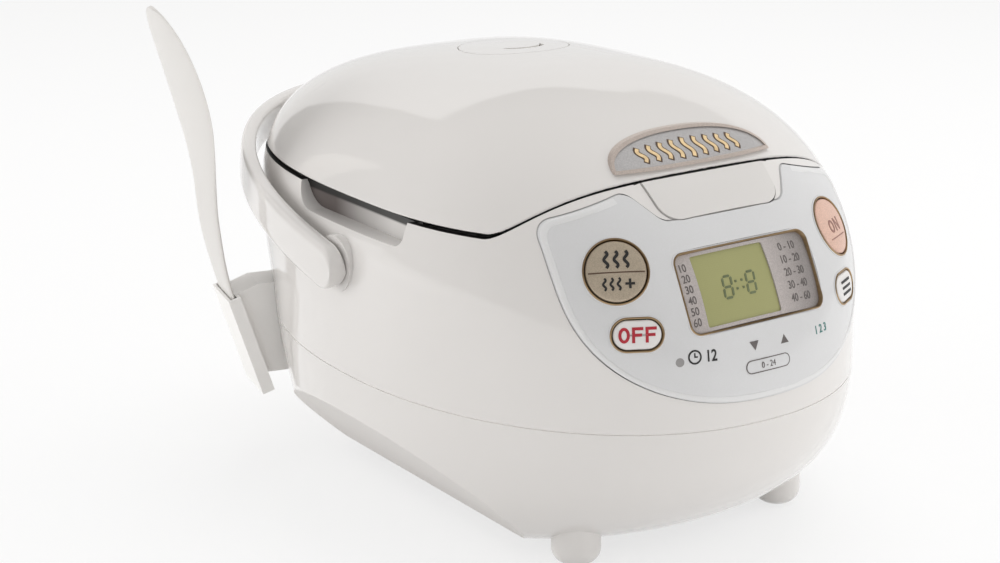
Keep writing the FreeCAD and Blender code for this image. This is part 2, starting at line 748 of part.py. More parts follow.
def seated_prism(name, edges, seat, reach="cut_reach"):
    """Outline in a seat's own plane, swept both ways along the seat's normal."""
    depth = value(reach)
    item = prism(name, edges, V(0, 0, -depth), V(0, 0, 2 * depth))
    item.Placement = seat
    return item


def rectangle(half_width, half_height, corner, shift=0.0):
    """Rounded rectangle about a point on the x axis."""
    corners = [
        V(shift - half_width, -half_height, 0), V(shift + half_width, -half_height, 0),
        V(shift + half_width, half_height, 0), V(shift - half_width, half_height, 0)
    ]
    return rounded_path(corners, [corner] * 4, True)


def button_edges(margin):
    """Outline of the open button in its own plane, grown by a margin."""
    top, foot = value("button_half_width") + margin, value("button_foot_half_width") + margin
    high, low = value("button_rise"), -value("button_fall") - margin
    corner = value("button_round") + margin
    corners = [V(-foot, low, 0), V(foot, low, 0), V(top, high, 0), V(-top, high, 0)]
    return rounded_path(corners, [corner, corner, 0, 0], True)


button_seat = front_seat(0, value("button_level"))
display_seat = front_seat(0, value("display_level"))
panel_space = front_prism("panel_space", panel_edges(0))
panel_window = front_prism("panel_window", panel_edges(value("panel_gap")))
button_space = seated_prism("button_space", button_edges(0), button_seat)
button_window = seated_prism("button_window", button_edges(value("button_gap")), button_seat)
button_room = seated_prism("button_room", button_edges(value("button_gap")), button_seat, "button_room")
hinge_room = cylinder(
    "hinge_room", "hinge_sweep", "2 * hinge_sweep_half_width", "-hinge_sweep_half_width", "hinge_reach",
    "hinge_level", RIGHT,
)
outlet_space = box(
    "outlet_space", ("outlet_side - outlet_half_width", "outlet_side + outlet_half_width"),
    ("rear_belly", "2 * rear_reach"), ("outlet_level - outlet_half_height",
                                       "outlet_level + outlet_half_height"),
)


# Body, base and feet


def make_body_shell():
    """Middle casing with the side grips, pivot bosses and front window."""
    band = common("body_band", shell_wall, body_layer)
    back = value("grip_depth_side")
    wall = value("wall")
    grips = common("grip_walls", common("grip_zone", grip_prism("grip_outside", wall, back - wall),
                                        outer_form),
                   body_layer)
    boss = cylinder("pivot_boss_right", "pivot_boss", "pivot_boss_length",
                    "handle_half_width - handle_thick - handle_play - pivot_boss_length", "pivot_reach",
                    "pivot_level", RIGHT)
    bore = cylinder("pivot_bore", "pivot_radius + fit_clearance", WIDE, f"-{WIDE} / 2", "pivot_reach",
                    "pivot_level", RIGHT)
    solid = fuse("body_solid", band, grips, boss, mirror("pivot_boss_left", boss))
    keep(cut("body_shell", solid, grip_prism("grip_space", 0, back), bore, panel_window, button_window,
             hinge_room, outlet_space))


def bevel_prism(name, inset):
    """Front view of the base's two bevels, moved in by an inset."""
    slope = math.radians(value("bevel_angle"))
    lift = inset / math.cos(slope)
    reach, height = value("bevel_reach"), value("bevel_height") + lift
    far = 2 * reach
    foot = reach - height / math.tan(slope)
    high = height + (far - reach) * math.tan(slope)
    right = [V(foot, 0, 0), V(far, 0, high)]
    left = [V(-point.x, 0, point.z) for point in reversed(right)]
    span = value(WIDE)
    edges = rounded_path([*right, *left], [0] * 4, True)
    return prism(name, edges, V(0, -span, 0), V(0, 2 * span, 0))


def post_places():
    """Places of the three posts under the heating plate, as expression pairs."""
    return [
        (f"post_ring * cos({angle})", f"pot_offset + post_ring * sin({angle})") for angle in (90, 210, 330)
    ]


def make_base():
    """Bottom casing with its bevels, foot pedestals and posts for the power board."""
    zone = box("base_zone", (f"-{WIDE}", WIDE), (f"-{WIDE}", WIDE), ("0", "seam_height"))
    bevelled = common("base_bevelled", common("base_egg", outer_form, zone), bevel_prism("base_bevel", 0))
    pedestals = []
    for end, sign in (("front", "-"), ("rear", "")):
        pedestal = cylinder(f"{end}_pedestal", "foot_radius", "pedestal_top - foot_drop", f"{end}_foot_side",
                            f"{sign}{end}_foot_reach", "foot_drop")
        pedestals += [pedestal, mirror(f"{end}_pedestal_left", pedestal)]
    hollow = common("base_hollow", inner_form, bevel_prism("base_hollow_bevel", value("wall")))
    groove_zone = box("groove_zone", (f"-{WIDE}", WIDE), (f"-{WIDE}", WIDE),
                      ("seam_height - seam_groove", "seam_height"))
    groove = cut("seam_ring", groove_zone, form("groove_form", "-seam_groove"))
    holes = []
    for index, (x, y) in enumerate(post_places()):
        holes.append(cylinder(f"base_hole_{index}", "screw_radius + fit_clearance", BASE_FLOOR, x, y))
    casing = cut("base_casing", fuse("base_solid", bevelled, *pedestals), hollow, groove, *holes)
    stands = []
    for end, inset in (("front", "+"), ("rear", "-")):
        stand = cylinder(f"power_stand_{end}", "2 * stand_radius", "power_lift + wall / 2",
                         "power_half_width - 3 * stand_radius", f"-power_{end} {inset} 3 * stand_radius",
                         f"{BASE_FLOOR} - wall / 2")
        stands += [stand, mirror(f"power_stand_{end}_left", stand)]
    keep(fuse("base_cover", casing, *stands))


def make_feet():
    """Round-bottomed feet under the pedestals."""
    corners = [("0", "0"), ("foot_radius", "0"), ("foot_radius", "foot_drop"), ("0", "foot_drop")]
    for end, sign in (("front", "-"), ("rear", "")):
        foot = turned(f"{end}_foot", corners, f"{end}_foot_side", f"{sign}{end}_foot_reach")
        round_bottom(foot, "foot_radius - foot_flat")
        keep(pair(f"{end}_feet", foot))


# Deck, pot and heating


def make_deck():
    """Plate inside the lid line, with the pot's hole, hinge arms and latch ears."""
    sheet_part = common("deck_sheet", deck_layer, inner_form)
    hole = cylinder("deck_hole", DECK_HOLE, WIDE, "0", "pot_offset", "0")
    margin = value("wall + seat_gap")
    grips = grip_prism("deck_grip_cut", margin, value("grip_depth_side") - margin)
    slot = box("strike_slot", ("-strike_half_width - strike_play", "strike_half_width + strike_play"),
               ("-latch_axis_reach - latch_foot_reach", "-latch_axis_reach + strike_slot_length"),
               ("latch_axis_level", "lid_height"))
    plate = cut("deck_plate", sheet_part, hole, grips, hinge_room, button_room, slot)
    arm_low, arm_high = "hinge_inner + hinge_arm + hinge_play", "hinge_inner + 2 * hinge_arm + hinge_play"
    trough = cut("hinge_trough_wall",
                 cylinder("trough_outside", "hinge_sweep + trough_wall", "2 * hinge_sweep_half_width",
                          "-hinge_sweep_half_width", "hinge_reach", "hinge_level", RIGHT), hinge_room)
    trough = common("hinge_trough", common("trough_low", trough, under_deck), inner_form)
    arm = fuse("deck_arm_solid",
               box("deck_arm_bar", (arm_low, arm_high),
                   ("hinge_reach - hinge_sweep - 2 * hinge_boss", "hinge_reach"),
                   (FLANGE_LEVEL, "hinge_level + hinge_boss / 2")),
               cylinder("deck_arm_knuckle", "hinge_boss", "hinge_arm", arm_low, "hinge_reach",
                        "hinge_level", RIGHT))
    bore = cylinder("deck_arm_bore", "hinge_pin_radius + fit_clearance", WIDE, f"-{WIDE} / 2", "hinge_reach",
                    "hinge_level", RIGHT)
    ear = box("latch_ear", ("latch_half_width + hinge_play", "latch_half_width + hinge_play + ear_thick"),
              ("-latch_axis_reach - latch_boss", "-latch_axis_reach + ear_run"),
              ("latch_axis_level - latch_boss", "lid_height"))
    ear = cut("latch_ear_cut", common("latch_ear_in", common("latch_ear_low", ear, under_deck), inner_form),
              button_room)
    pin_bore = cylinder("latch_ear_bore", "latch_pin_radius + fit_clearance", WIDE, f"-{WIDE} / 2",
                        "-latch_axis_reach", "latch_axis_level", RIGHT)
    solid = fuse("deck_solid", plate, trough, arm, mirror("deck_arm_left", arm), ear,
                 mirror("latch_ear_left", ear))
    keep(cut("top_deck", solid, bore, pin_bore))
    keep(cylinder("hinge_pin", "hinge_pin_radius", f"2 * ({arm_high})", f"-({arm_high})", "hinge_reach",
                  "hinge_level", RIGHT))
    ear_end = "latch_half_width + hinge_play + ear_thick"
    keep(cylinder("latch_pin", "latch_pin_radius", f"2 * ({ear_end})", f"-({ear_end})", "-latch_axis_reach",
                  "latch_axis_level", RIGHT))


def make_chamber():
    """Liner, pot, heating plate on its posts, side heater and thermal fuse."""
    floor = f"{PLATE_UNDERSIDE} + 3 * liner_wall"
    outside = f"{LINER_RADIUS} + liner_wall"
    rim = f"{DECK_HOLE} + liner_tread"
    keep(turned("chamber_liner", [
        ("liner_floor_hole", floor), (outside, floor), (outside, f"{FLANGE_LEVEL} - liner_wall"),
        (rim, f"{FLANGE_LEVEL} - liner_wall"), (rim, FLANGE_LEVEL), (LINER_RADIUS, FLANGE_LEVEL),
        (LINER_RADIUS, f"{floor} + liner_wall"), ("liner_floor_hole", f"{floor} + liner_wall"),
    ], "0", "pot_offset"))
    pot = turned("pot_blank", [
        ("0", "pot_floor"), ("pot_radius", "pot_floor"), ("pot_radius", FLANGE_LEVEL),
        ("pot_flange", FLANGE_LEVEL), ("pot_flange", f"{FLANGE_LEVEL} + flange_thick"),
        ("0", f"{FLANGE_LEVEL} + flange_thick"),
    ], "0", "pot_offset")
    hollow = turned("pot_hollow", [
        ("0", "pot_floor + pot_wall"), ("pot_radius - pot_wall", "pot_floor + pot_wall"),
        ("pot_radius - pot_wall", "lid_height"), ("0", "lid_height"),
    ], "0", "pot_offset")
    round_bottom(pot, "pot_corner")
    round_bottom(hollow, "pot_corner - pot_wall")
    keep(cut("inner_pot", pot, hollow))
    keep(turned("heating_plate", [
        ("plate_hole", PLATE_UNDERSIDE), ("plate_radius", PLATE_UNDERSIDE), ("plate_radius", "pot_floor"),
        ("plate_hole", "pot_floor"),
    ], "0", "pot_offset"))
    posts, screws = [], []
    for index, (x, y) in enumerate(post_places()):
        posts.append(ring(f"post_{index}", "post_radius", "screw_radius + fit_clearance",
                          f"{PLATE_UNDERSIDE} - {BASE_FLOOR}", x, y, BASE_FLOOR))
        head = cylinder(f"base_screw_head_{index}", "screw_head", "screw_head_height", x, y,
                        "underside_height - screw_head_height")
        shank = cylinder(f"base_screw_shank_{index}", "screw_radius", "screw_length", x, y,
                         "underside_height")
        screws.append(fuse(f"base_screw_{index}", head, shank))
    keep(group("plate_posts", *posts))
    keep(group("base_screws", *screws))
    keep(ring("side_heater", f"{outside} + fit_clearance + band_thick", f"{outside} + fit_clearance",
              "band_height",
              "0", "pot_offset", "band_level"))
    clamp = box("fuse_clamp", ("plate_radius / 2", "plate_radius / 2 + fuse_length"),
                ("pot_offset - fuse_width / 2", "pot_offset + fuse_width / 2"),
                (f"{PLATE_UNDERSIDE} - fuse_height", PLATE_UNDERSIDE))
    link = cylinder("fuse_link", "fuse_radius", "2 * fuse_length", "plate_radius / 2 - fuse_length / 2",
                    "pot_offset", f"{PLATE_UNDERSIDE} - fuse_height", RIGHT)
    keep(fuse("thermal_fuse", clamp, link))


def make_sensor():
    """Spring-loaded temperature sensor in the middle of the heating plate."""
    bore = "plunger_stem + slide_clearance"
    floor = f"{BASE_FLOOR} + housing_wall"
    head = "pot_floor - seat_gap - plunger_head_height"
    keep(turned("sensor_housing", [
        ("0", BASE_FLOOR), (f"{bore} + housing_wall", BASE_FLOOR),
        (f"{bore} + housing_wall", f"{BASE_FLOOR} + housing_height"),
        (bore, f"{BASE_FLOOR} + housing_height"),
        (bore, floor), ("0", floor),
    ], "0", "pot_offset"))
    keep(turned("sensor_plunger", [
        ("0", head), ("plunger_bore", head), ("plunger_bore", f"{head} - plunger_length"),
        ("plunger_stem", f"{head} - plunger_length"), ("plunger_stem", head), ("plunger_head", head),
        ("plunger_head", f"{head} + plunger_head_height"), ("0", f"{head} + plunger_head_height"),
    ], "0", "pot_offset"))
    free = f"({head}) - ({floor}) - 2 * spring_wire"
    spring = coil("sensor_spring", "plunger_bore - 2 * spring_wire", free, "3 * spring_wire",
                  FreeCAD.Placement())
    place(spring, "0", "pot_offset", f"{floor} + spring_wire")
    keep(spring)


# Control panel

KEYS = (
    ("keep_warm_key", "round", -1),
    ("cook_key", "round", 1),
    ("reset_key", "long", -1),
    ("menu_key", "long", 1),
)


def key_seat(kind, side):
    """Place of a key on the panel."""
    return front_seat(side * value(f"{kind}_key_side"), value(f"{kind}_key_level"))


def key_prism(name, kind, side, margin):
    """Space of a key along its own normal, grown by a margin."""
    if kind == "round":
        radius = value("round_key_radius") + margin
        edges = [Part.Circle(V(), UP, radius).toShape()]
    else:
        half = value("long_key_half_height") + margin
        edges = rectangle(value("long_key_half_width") + margin, half, half * value("long_key_roundness"))
    return seated_prism(name, edges, key_seat(kind, side), "key_reach")


def skin(name, space, top, foot):
    """Part of a space that lies between two forms."""
    return cut(name, common(f"{name}_block", space, top), foot)


def display_prism(name, margin):
    """Space of the display, grown by a margin."""
    edges = rectangle(value("display_half_width") + margin, value("display_half_height") + margin,
                      value("display_round") + margin)
    return seated_prism(name, edges, display_seat)


def board_place(x, y, depth):
    """Point behind the display, in the control board's own axes."""
    return display_seat.multVec(V(x, y, -depth))


def recessed(item, depth):
    """Sink an object straight into the panel at the display."""
    out = display_seat.Rotation.multVec(UP)
    item.Placement = FreeCAD.Placement(out * -depth, FreeCAD.Rotation())
    return item


def make_panel():
    """Control panel with its keys, rims, display and the board behind it."""
    gap, rim = value("key_gap"), value("key_gap + rim_width")
    windows, rims = [], []
    for name, kind, side in KEYS:
        keep(skin(name, key_prism(f"{name}_space", kind, side, 0), key_form, inner_form))
        window = key_prism(f"{name}_window", kind, side, rim)
        hole = key_prism(f"{name}_hole", kind, side, gap)
        windows.append(window)
        rims.append(cut(f"{name}_rim", skin(f"{name}_rim_disc", window, key_form, inner_form), hole))
    keep(group("key_rims", *rims))
    frame_space = display_prism("display_window", 0)
    mask_space = display_prism("display_mask_space", -value("display_rim"))
    glass_edges = rectangle(value("glass_half_width"), value("glass_half_height"), value("glass_round"),
                            -value("glass_shift"))
    glass_space = seated_prism("glass_space", glass_edges, display_seat)
    keep(cut("display_frame", skin("display_frame_plate", frame_space, key_form, inner_form), mask_space))
    mask = cut("display_mask", skin("mask_plate", mask_space, outer_form, inner_form), glass_space)
    keep(recessed(mask, value("mask_recess")))
    keep(recessed(skin("display_glass", glass_space, outer_form, inner_form), value("glass_recess")))
    lamp_seat = front_seat(-value("lamp_side"), value("lamp_level"))
    lamp_edges = [Part.Circle(V(), UP, value("lamp_radius")).toShape()]
    lamp_space = seated_prism("lamp_space", lamp_edges, lamp_seat, "key_reach")
    keep(skin("timer_lamp", lamp_space, panel_form, inner_form))
    stands = []
    for x in (-1, 1):
        for y in (-1, 1):
            stand = cylinder(f"board_stand_{x + 2}{y + 2}", "stand_radius", "board_depth")
            foot = board_place(x * value("stand_side"), y * value("stand_rise"), value("board_depth"))
            stands.append(set_at(stand, foot, display_seat.Rotation))
    plate = skin("panel_plate", panel_space, panel_form, inner_form)
    backs = common("board_stands", fuse("board_stand_rods", *stands), panel_form)
    keep(cut("control_panel", fuse("panel_solid", plate, backs), frame_space, lamp_space, button_window,
             *windows))
    make_control_board()


def make_control_board():
    """Board on the panel's stands, with a push switch behind each key."""
    board = box("control_board", ("0", "2 * board_half_width"), ("0", "2 * board_half_height"),
                ("0", "board_thick"))
    corner = board_place(-value("board_half_width"), -value("board_half_height"),
                         value("board_depth + board_thick"))
    keep(set_at(board, corner, display_seat.Rotation))
    out = display_seat.Rotation.multVec(UP)
    face = board_place(0, 0, value("board_depth"))
    half = value("switch_half")
    room = value("wall + key_travel + 2 * key_gap")
    switches = []
    for name, kind, side in KEYS:
        seat = key_seat(kind, side)
        axis = seat.Rotation.multVec(UP)
        reach = (seat.Base - face).dot(out) / axis.dot(out)
        foot = seat.Base - axis * reach
        height = (reach - room) * axis.dot(out)
        switch = document.addObject("Part::Box", f"{name}_switch")
        switch.Height = height
        bind(switch, "Length", "2 * switch_half")
        bind(switch, "Width", "2 * switch_half")
        base = foot + display_seat.Rotation.multVec(V(-half, -half, 0))
        switch.Placement = FreeCAD.Placement(base, display_seat.Rotation)
        switches.append(switch)
    keep(group("push_switches", *switches))


def make_power_board():
    """Power board on its stands, with the relay, transformer, capacitor and heat sink on it."""
    foot = f"({BASE_FLOOR} + power_lift)"
    top = f"({foot} + board_thick)"
    keep(box("power_board", ("-power_half_width", "power_half_width"), ("-power_front", "-power_rear"),
             (foot, top)))
    middle = "-(power_front + power_rear) / 2"
    tall = f"{top} + tall_height"
    transformer = box("transformer", ("-transformer_side - transformer_half_width",
                                      "-transformer_side + transformer_half_width"),
                      (f"{middle} - transformer_half_depth", f"{middle} + transformer_half_depth"),
                      (top, tall))
    wide = ("relay_side - relay_half_width", "relay_side + relay_half_width")
    relay = box("relay", wide, ("-relay_front", "-relay_rear"), (top, f"{top} + relay_height"))
    sink = box("heat_sink", wide, ("-sink_front", "-sink_rear"), (top, tall))
    capacitor = cylinder("capacitor", "capacitor_radius", "tall_height", "capacitor_side", middle, top)
    keep(group("power_components", transformer, relay, sink, capacitor))


def make_cord_outlet():
    """Gland in the rear of the body that the cord would come out of."""
    gap = "key_gap"
    plug = box("outlet_plug",
               (f"outlet_side - outlet_half_width + {gap}", f"outlet_side + outlet_half_width - {gap}"),
               ("rear_belly", "2 * rear_reach"),
               (f"outlet_level - outlet_half_height + {gap}", f"outlet_level + outlet_half_height - {gap}"))
    slot = box("outlet_slot", ("outlet_side - outlet_slot_half_width",
                               "outlet_side + outlet_slot_half_width"),
               ("rear_belly", "2 * rear_reach"),
               ("outlet_level - outlet_slot_half_height", "outlet_level + outlet_slot_half_height"))
    keep(cut("cord_outlet", skin("outlet_block", plug, key_form, inner_form), slot))


# Open button and latch


def make_latch():
    """Open button, the lever under it, its spring and the strike on the lid."""
    leg_low = "latch_axis_level + latch_foot_rise + seat_gap"
    leg = box("button_leg", ("-latch_half_width", "latch_half_width"),
              ("-latch_axis_reach - latch_foot_reach", "-latch_axis_reach - latch_foot_reach + latch_arm"),
              (leg_low, "lid_height"))
    leg = common("button_leg_in", leg, outer_form)
    face = common("button_trimmed", skin("button_face", button_space, panel_form, inner_form), body_layer)
    keep(fuse("open_button", face, leg))
    axis, level = "-latch_axis_reach", "latch_axis_level"
    back, hook = f"{axis} + latch_arm / 2", f"{level} + latch_rise"
    lever = pressed("latch_blank", [
        (f"{axis} - latch_arm / 2", f"{level} - latch_arm"), (back, f"{level} - latch_arm"),
        (back, f"{hook} - latch_arm"), (f"{back} + latch_nose", f"{hook} - latch_arm"), (back, hook),
        (f"{axis} - latch_arm / 2", hook), (f"{axis} - latch_arm / 2", f"{level} + latch_foot_rise"),
        (f"{axis} - latch_foot_reach", f"{level} + latch_foot_rise"),
        (f"{axis} - latch_foot_reach", f"{level} + latch_foot_rise - latch_arm"),
        (f"{axis} - latch_arm / 2", f"{level} + latch_foot_rise - 2 * latch_arm"),
    ], "latch_half_width")
    boss = cylinder("latch_lever_boss", "latch_boss", "2 * latch_half_width", "-latch_half_width", axis,
                    level, RIGHT)
    bore = cylinder("latch_lever_bore", "latch_pin_radius + fit_clearance", WIDE, f"-{WIDE} / 2", axis,
                    level, RIGHT)
    keep(cut("latch_lever", fuse("latch_solid", lever, boss), bore))
    tip = f"({back} + latch_nose + latch_slack)"
    lip_top = f"({hook} - latch_arm - latch_slack)"
    inner = f"({tip} + strike_lip)"
    plate = box("strike_plate", ("-strike_half_width", "strike_half_width"),
                (inner, f"{inner} + strike_thick"),
                (f"{lip_top} - strike_thick", "lid_height"))
    lip = box("strike_lip_bar", ("-strike_half_width", "strike_half_width"), (tip, inner),
              (f"{lip_top} - strike_thick", lip_top))
    under_lid = layer("strike_zone", level_run(0), lid_curve(half_gap))
    keep(common("lid_strike", fuse("strike_solid", plate, lip), under_lid))


# Lid


def boss_places():
    """Places of the four screws that hold the lid's liner, as expression pairs."""
    places = []
    for end, sign in (("front", "-"), ("rear", "")):
        for side in ("-", ""):
            places.append((f"{side}{end}_boss_side", f"{sign}{end}_boss_reach"))
    return places


def make_lid():
    """Lid cover with the vent's well, its liner, hinge arms, heater, inner lid and badge."""
    dome = common("lid_dome", shell_wall, lid_layer)
    document.recompute()
    rim = [
        index + 1 for index, edge in enumerate(dome.Shape.Edges)
        if edge.Length > value("body_width") / 3 and edge.BoundBox.ZMin < value(LID_FLOOR) + TOLERANCE
        and edge.BoundBox.XMax > plan_at(value(LID_FLOOR))[0] - TOLERANCE
    ]
    rounded = document.addObject("Part::Fillet", "lid_rounded")
    rounded.Base = dome
    rounded.Edges = [(index, value("lid_edge"), value("lid_edge")) for index in rim]
    well = ring("vent_well", "vent_radius + vent_gap + wall", "vent_radius + vent_gap",
                "lid_height - vent_floor + wall",
                "0", "vent_offset", "vent_floor - wall")
    floor = ring("vent_well_floor", "vent_radius + vent_gap + wall / 2", "vent_stem + vent_gap", "wall", "0",
                 "vent_offset", "vent_floor - wall")
    bosses = []
    for index, (x, y) in enumerate(boss_places()):
        bosses.append(cylinder(f"lid_boss_{index}", "lid_boss", f"lid_height - {LID_DECK}", x, y, LID_DECK))
    inside = common("lid_inside", fuse("lid_fittings", well, floor, *bosses), outer_form)
    mouth = cylinder("vent_mouth", "vent_radius + vent_gap", "lid_height", "0", "vent_offset", "vent_floor")
    holes = []
    for index, (x, y) in enumerate(boss_places()):
        holes.append(cylinder(f"lid_boss_hole_{index}", "screw_radius + fit_clearance",
                              "screw_length + screw_room", x, y, LID_FLOOR))
    keep(cut("lid_cover", fuse("lid_solid", rounded, inside), mouth, *holes))
    make_lid_liner(holes)
    make_vent()
    make_badge()


def make_lid_liner(holes):
    """Underside of the lid and what hangs on it."""
    plate = common("liner_sheet", liner_layer, inner_form)
    rib = common("liner_rib",
                 ring("liner_rib_ring", "(gasket_outer + gasket_inner) / 2 + rib_half",
                      "(gasket_outer + gasket_inner) / 2 - rib_half", f"lid_height - {GASKET_TOP}", "0",
                      "pot_offset",
                      GASKET_TOP), under_liner)
    notch = box("liner_notch",
                ("-(hinge_inner + 2 * hinge_arm + 4 * hinge_play)",
                 "hinge_inner + 2 * hinge_arm + 4 * hinge_play"),
                ("hinge_reach - hinge_sweep - notch_run", WIDE), ("0", "lid_height"))
    vent = cylinder("liner_vent_hole", "vent_stem + vent_gap + vent_tube_wall + fit_clearance", WIDE, "0",
                    "vent_offset", "0")
    knob_hole = cylinder("liner_knob_hole", "knob_stem + fit_clearance", WIDE, "0",
                         "pot_offset - knob_shift", "0")
    keep(cut("lid_liner", fuse("liner_solid", plate, rib), notch, vent, knob_hole, *holes))
    screws = []
    for index, (x, y) in enumerate(boss_places()):
        head = cylinder(f"lid_screw_head_{index}", "screw_head", "screw_head_height", x, y,
                        f"{LID_FLOOR} - screw_head_height")
        shank = cylinder(f"lid_screw_shank_{index}", "screw_radius", "screw_length", x, y, LID_FLOOR)
        screws.append(fuse(f"lid_screw_{index}", head, shank))
    keep(group("lid_screws", *screws))
    bar = box("lid_arm_bar", ("hinge_inner", "hinge_inner + hinge_arm"), ("hinge_arm_front", "hinge_reach"),
              (LID_DECK, f"{LID_DECK} + hinge_arm_height"))
    knuckle = cylinder("lid_arm_knuckle", "hinge_boss", "hinge_arm", "hinge_inner", "hinge_reach",
                       "hinge_level", RIGHT)
    bore = cylinder("lid_arm_bore", "hinge_pin_radius + fit_clearance", WIDE, "0", "hinge_reach",
                    "hinge_level", RIGHT)
    keep(pair("lid_hinge_arms", cut("lid_arm", fuse("lid_arm_solid", bar, knuckle), bore)))
    spring = coil("hinge_spring", "hinge_pin_radius + spring_wire", "2 * hinge_inner - 3 * spring_wire",
                  "spring_pitch",
                  FreeCAD.Placement(V(), FreeCAD.Rotation(UP, RIGHT)))
    place(spring, "-hinge_inner + 1.5 * spring_wire", "hinge_reach", "hinge_level")
    keep(spring)
    tube_hole = cylinder("heater_vent_hole", "vent_stem + vent_gap + 2 * vent_tube_wall", WIDE, "0",
                         "vent_offset",
                         "0")
    knob_room = cylinder("heater_knob_hole", "knob_radius", WIDE, "0", "pot_offset - knob_shift", "0")
    keep(cut("lid_heater", cylinder("lid_heater_disc", "lid_plate_radius", "lid_plate_thick", "0",
                                    "pot_offset",
                                    LID_DECK), tube_hole, knob_room))
    keep(turned("lid_gasket", [
        ("gasket_inner", GASKET_FOOT), ("gasket_outer", GASKET_FOOT), ("gasket_outer", GASKET_TOP),
        ("gasket_inner", GASKET_TOP),
    ], "0", "pot_offset"))
    disc = cylinder("inner_lid_disc", "gasket_inner - fit_clearance", "inner_lid_thick", "0", "pot_offset",
                    f"{GASKET_TOP} - inner_lid_thick")
    steam = cylinder("inner_lid_steam_hole", "vent_stem", WIDE, "0", "vent_offset", "0")
    keep(cut("inner_lid", disc, steam,
             cylinder("inner_lid_knob_hole", "knob_stem + fit_clearance", WIDE, "0",
                      "pot_offset - knob_shift", "0")))
    lid_foot = f"({GASKET_TOP} - inner_lid_thick)"
    keep(turned("inner_lid_knob", [
        ("0", f"{lid_foot} - knob_drop"), ("knob_face", f"{lid_foot} - knob_drop"),
        ("knob_radius", f"{lid_foot} - knob_drop / 2"), ("knob_radius", lid_foot), ("knob_stem", lid_foot),
        ("knob_stem", LID_DECK), ("0", LID_DECK),
    ], "0", "pot_offset - knob_shift"))


def make_vent():
    """Steam vent cap in its well and the tube under it."""
    foot = "vent_floor + seat_gap"
    disc = common("vent_disc", cylinder("vent_block", "vent_radius", "lid_height", "0", "vent_offset",
                                        foot), outer_form)
    hollow = cylinder("vent_hollow", "vent_radius - 2 * wall", "wall", "0", "vent_offset", foot)
    slot = common("vent_slot",
                  ring("vent_slot_ring", "vent_slot_radius", "vent_slot_radius - vent_slot_width",
                       "lid_height", "0",
                       "vent_offset", "vent_floor"),
                  box("vent_slot_zone", ("-vent_slot_spread", "vent_slot_spread"),
                      ("vent_offset - vent_radius",
                      "vent_offset"), ("0", WIDE)))
    stem = ring("vent_stem_tube", "vent_stem", "vent_stem - wall / 2", "vent_stem_length + 2 * wall", "0",
                "vent_offset", f"{foot} - vent_stem_length")
    keep(fuse("steam_vent_cap", cut("vent_lid", disc, hollow, slot), stem))
    keep(ring("steam_tube", "vent_stem + vent_gap + vent_tube_wall", "vent_stem + vent_gap",
              f"vent_floor - wall - ({GASKET_TOP})", "0", "vent_offset", GASKET_TOP))


def badge_edges():
    """Front view of the arched badge."""
    half, foot, rise = value("badge_half_width"), value("badge_foot"), value("badge_rise")
    points = []
    for east, north in half_oval(value("badge_power")):
        points.append(V(half * east, 0, foot + rise * north))
    return [smooth(points), Part.makeLine(points[-1], points[0])]


def make_badge():
    """Bare badge on the front of the lid, and its rim."""
    plate = front_prism("badge_space", grown(badge_edges(), -value("badge_rim_width")))
    keep(skin("badge_plate", plate, panel_form, outer_form))
    border = skin("badge_border", front_prism("badge_border_space", badge_edges()), key_form, outer_form)
    keep(cut("badge_rim", border, plate))


# Handle


def bow_points(half_width, reach):
    """Half of an oval bow, from the right arm round the rear to the left arm."""
    power = value("handle_power")
    points = []
    for index in range(CURVE_POINTS + 1):
        angle = math.pi * index / CURVE_POINTS
        east, north = math.cos(angle), math.sin(angle)
        radius = ((abs(east) / half_width) ** power + (north / reach) ** power) ** (-1 / power)
        points.append(V(radius * east, radius * north, 0))
    return points


def make_handle():
    """Carrying handle that folds back round the rear, and its two pivot pins."""
    half, reach, thick = value("handle_half_width"), value("handle_reach"), value("handle_thick")
    tall, tail = value("handle_height") / 2, value("handle_tail_height") / 2
    outside, inside = bow_points(half, reach), bow_points(half - thick, reach - thick)
    front = V(0, -tall, 0)
    edges = [smooth(outside), smooth(inside)]
    for curve in (outside, inside):
        edges += [Part.makeLine(end, end + front) for end in (curve[0], curve[-1])]
    edges += [Part.makeLine(outside[end] + front, inside[end] + front) for end in (0, -1)]
    plan = prism("handle_plan", edges, V(0, 0, -tall), V(0, 0, 2 * tall))
    nose = Part.Arc(V(0, 0, tall), V(0, -tall, 0), V(0, 0, -tall)).toShape()
    far = reach + thick
    rear = [V(0, far, tail), V(0, far, -tail)]
    side = [nose, Part.makeLine(V(0, 0, tall), rear[0]), Part.makeLine(*rear),
            Part.makeLine(rear[1], V(0, 0, -tall))]
    elevation = prism("handle_elevation", side, V(-half, 0, 0), V(2 * half, 0, 0))
    hole = cylinder("handle_hole", "pivot_radius + fit_clearance", "2 * (handle_half_width - pivot_skin)",
                    "-(handle_half_width - pivot_skin)", "0", "0", RIGHT)
    handle = cut("handle", common("handle_band", plan, elevation), hole)
    handle.Placement.Rotation = FreeCAD.Rotation(RIGHT, value("handle_tilt"))
    place(handle, "0", "pivot_reach", "pivot_level")
    keep(handle)
    boss_face = "(handle_half_width - handle_thick - handle_play - pivot_boss_length)"
    end = "(handle_half_width - pivot_skin - seat_gap)"
    pin = fuse("pivot_pin",
               cylinder("pivot_shank", "pivot_radius", f"{end} - {boss_face}", boss_face, "pivot_reach",
                        "pivot_level",
                        RIGHT),
               cylinder("pivot_head", "pivot_flange", "pivot_flange_thick",
                        f"{boss_face} - pivot_flange_thick",
                        "pivot_reach", "pivot_level", RIGHT))
    keep(pair("handle_pins", pin))


# Spatula and holder


def lean(length, tilt):
    """Step of a given length, leaning outward from the vertical."""
    return V(0, length * math.sin(tilt), length * math.cos(tilt))


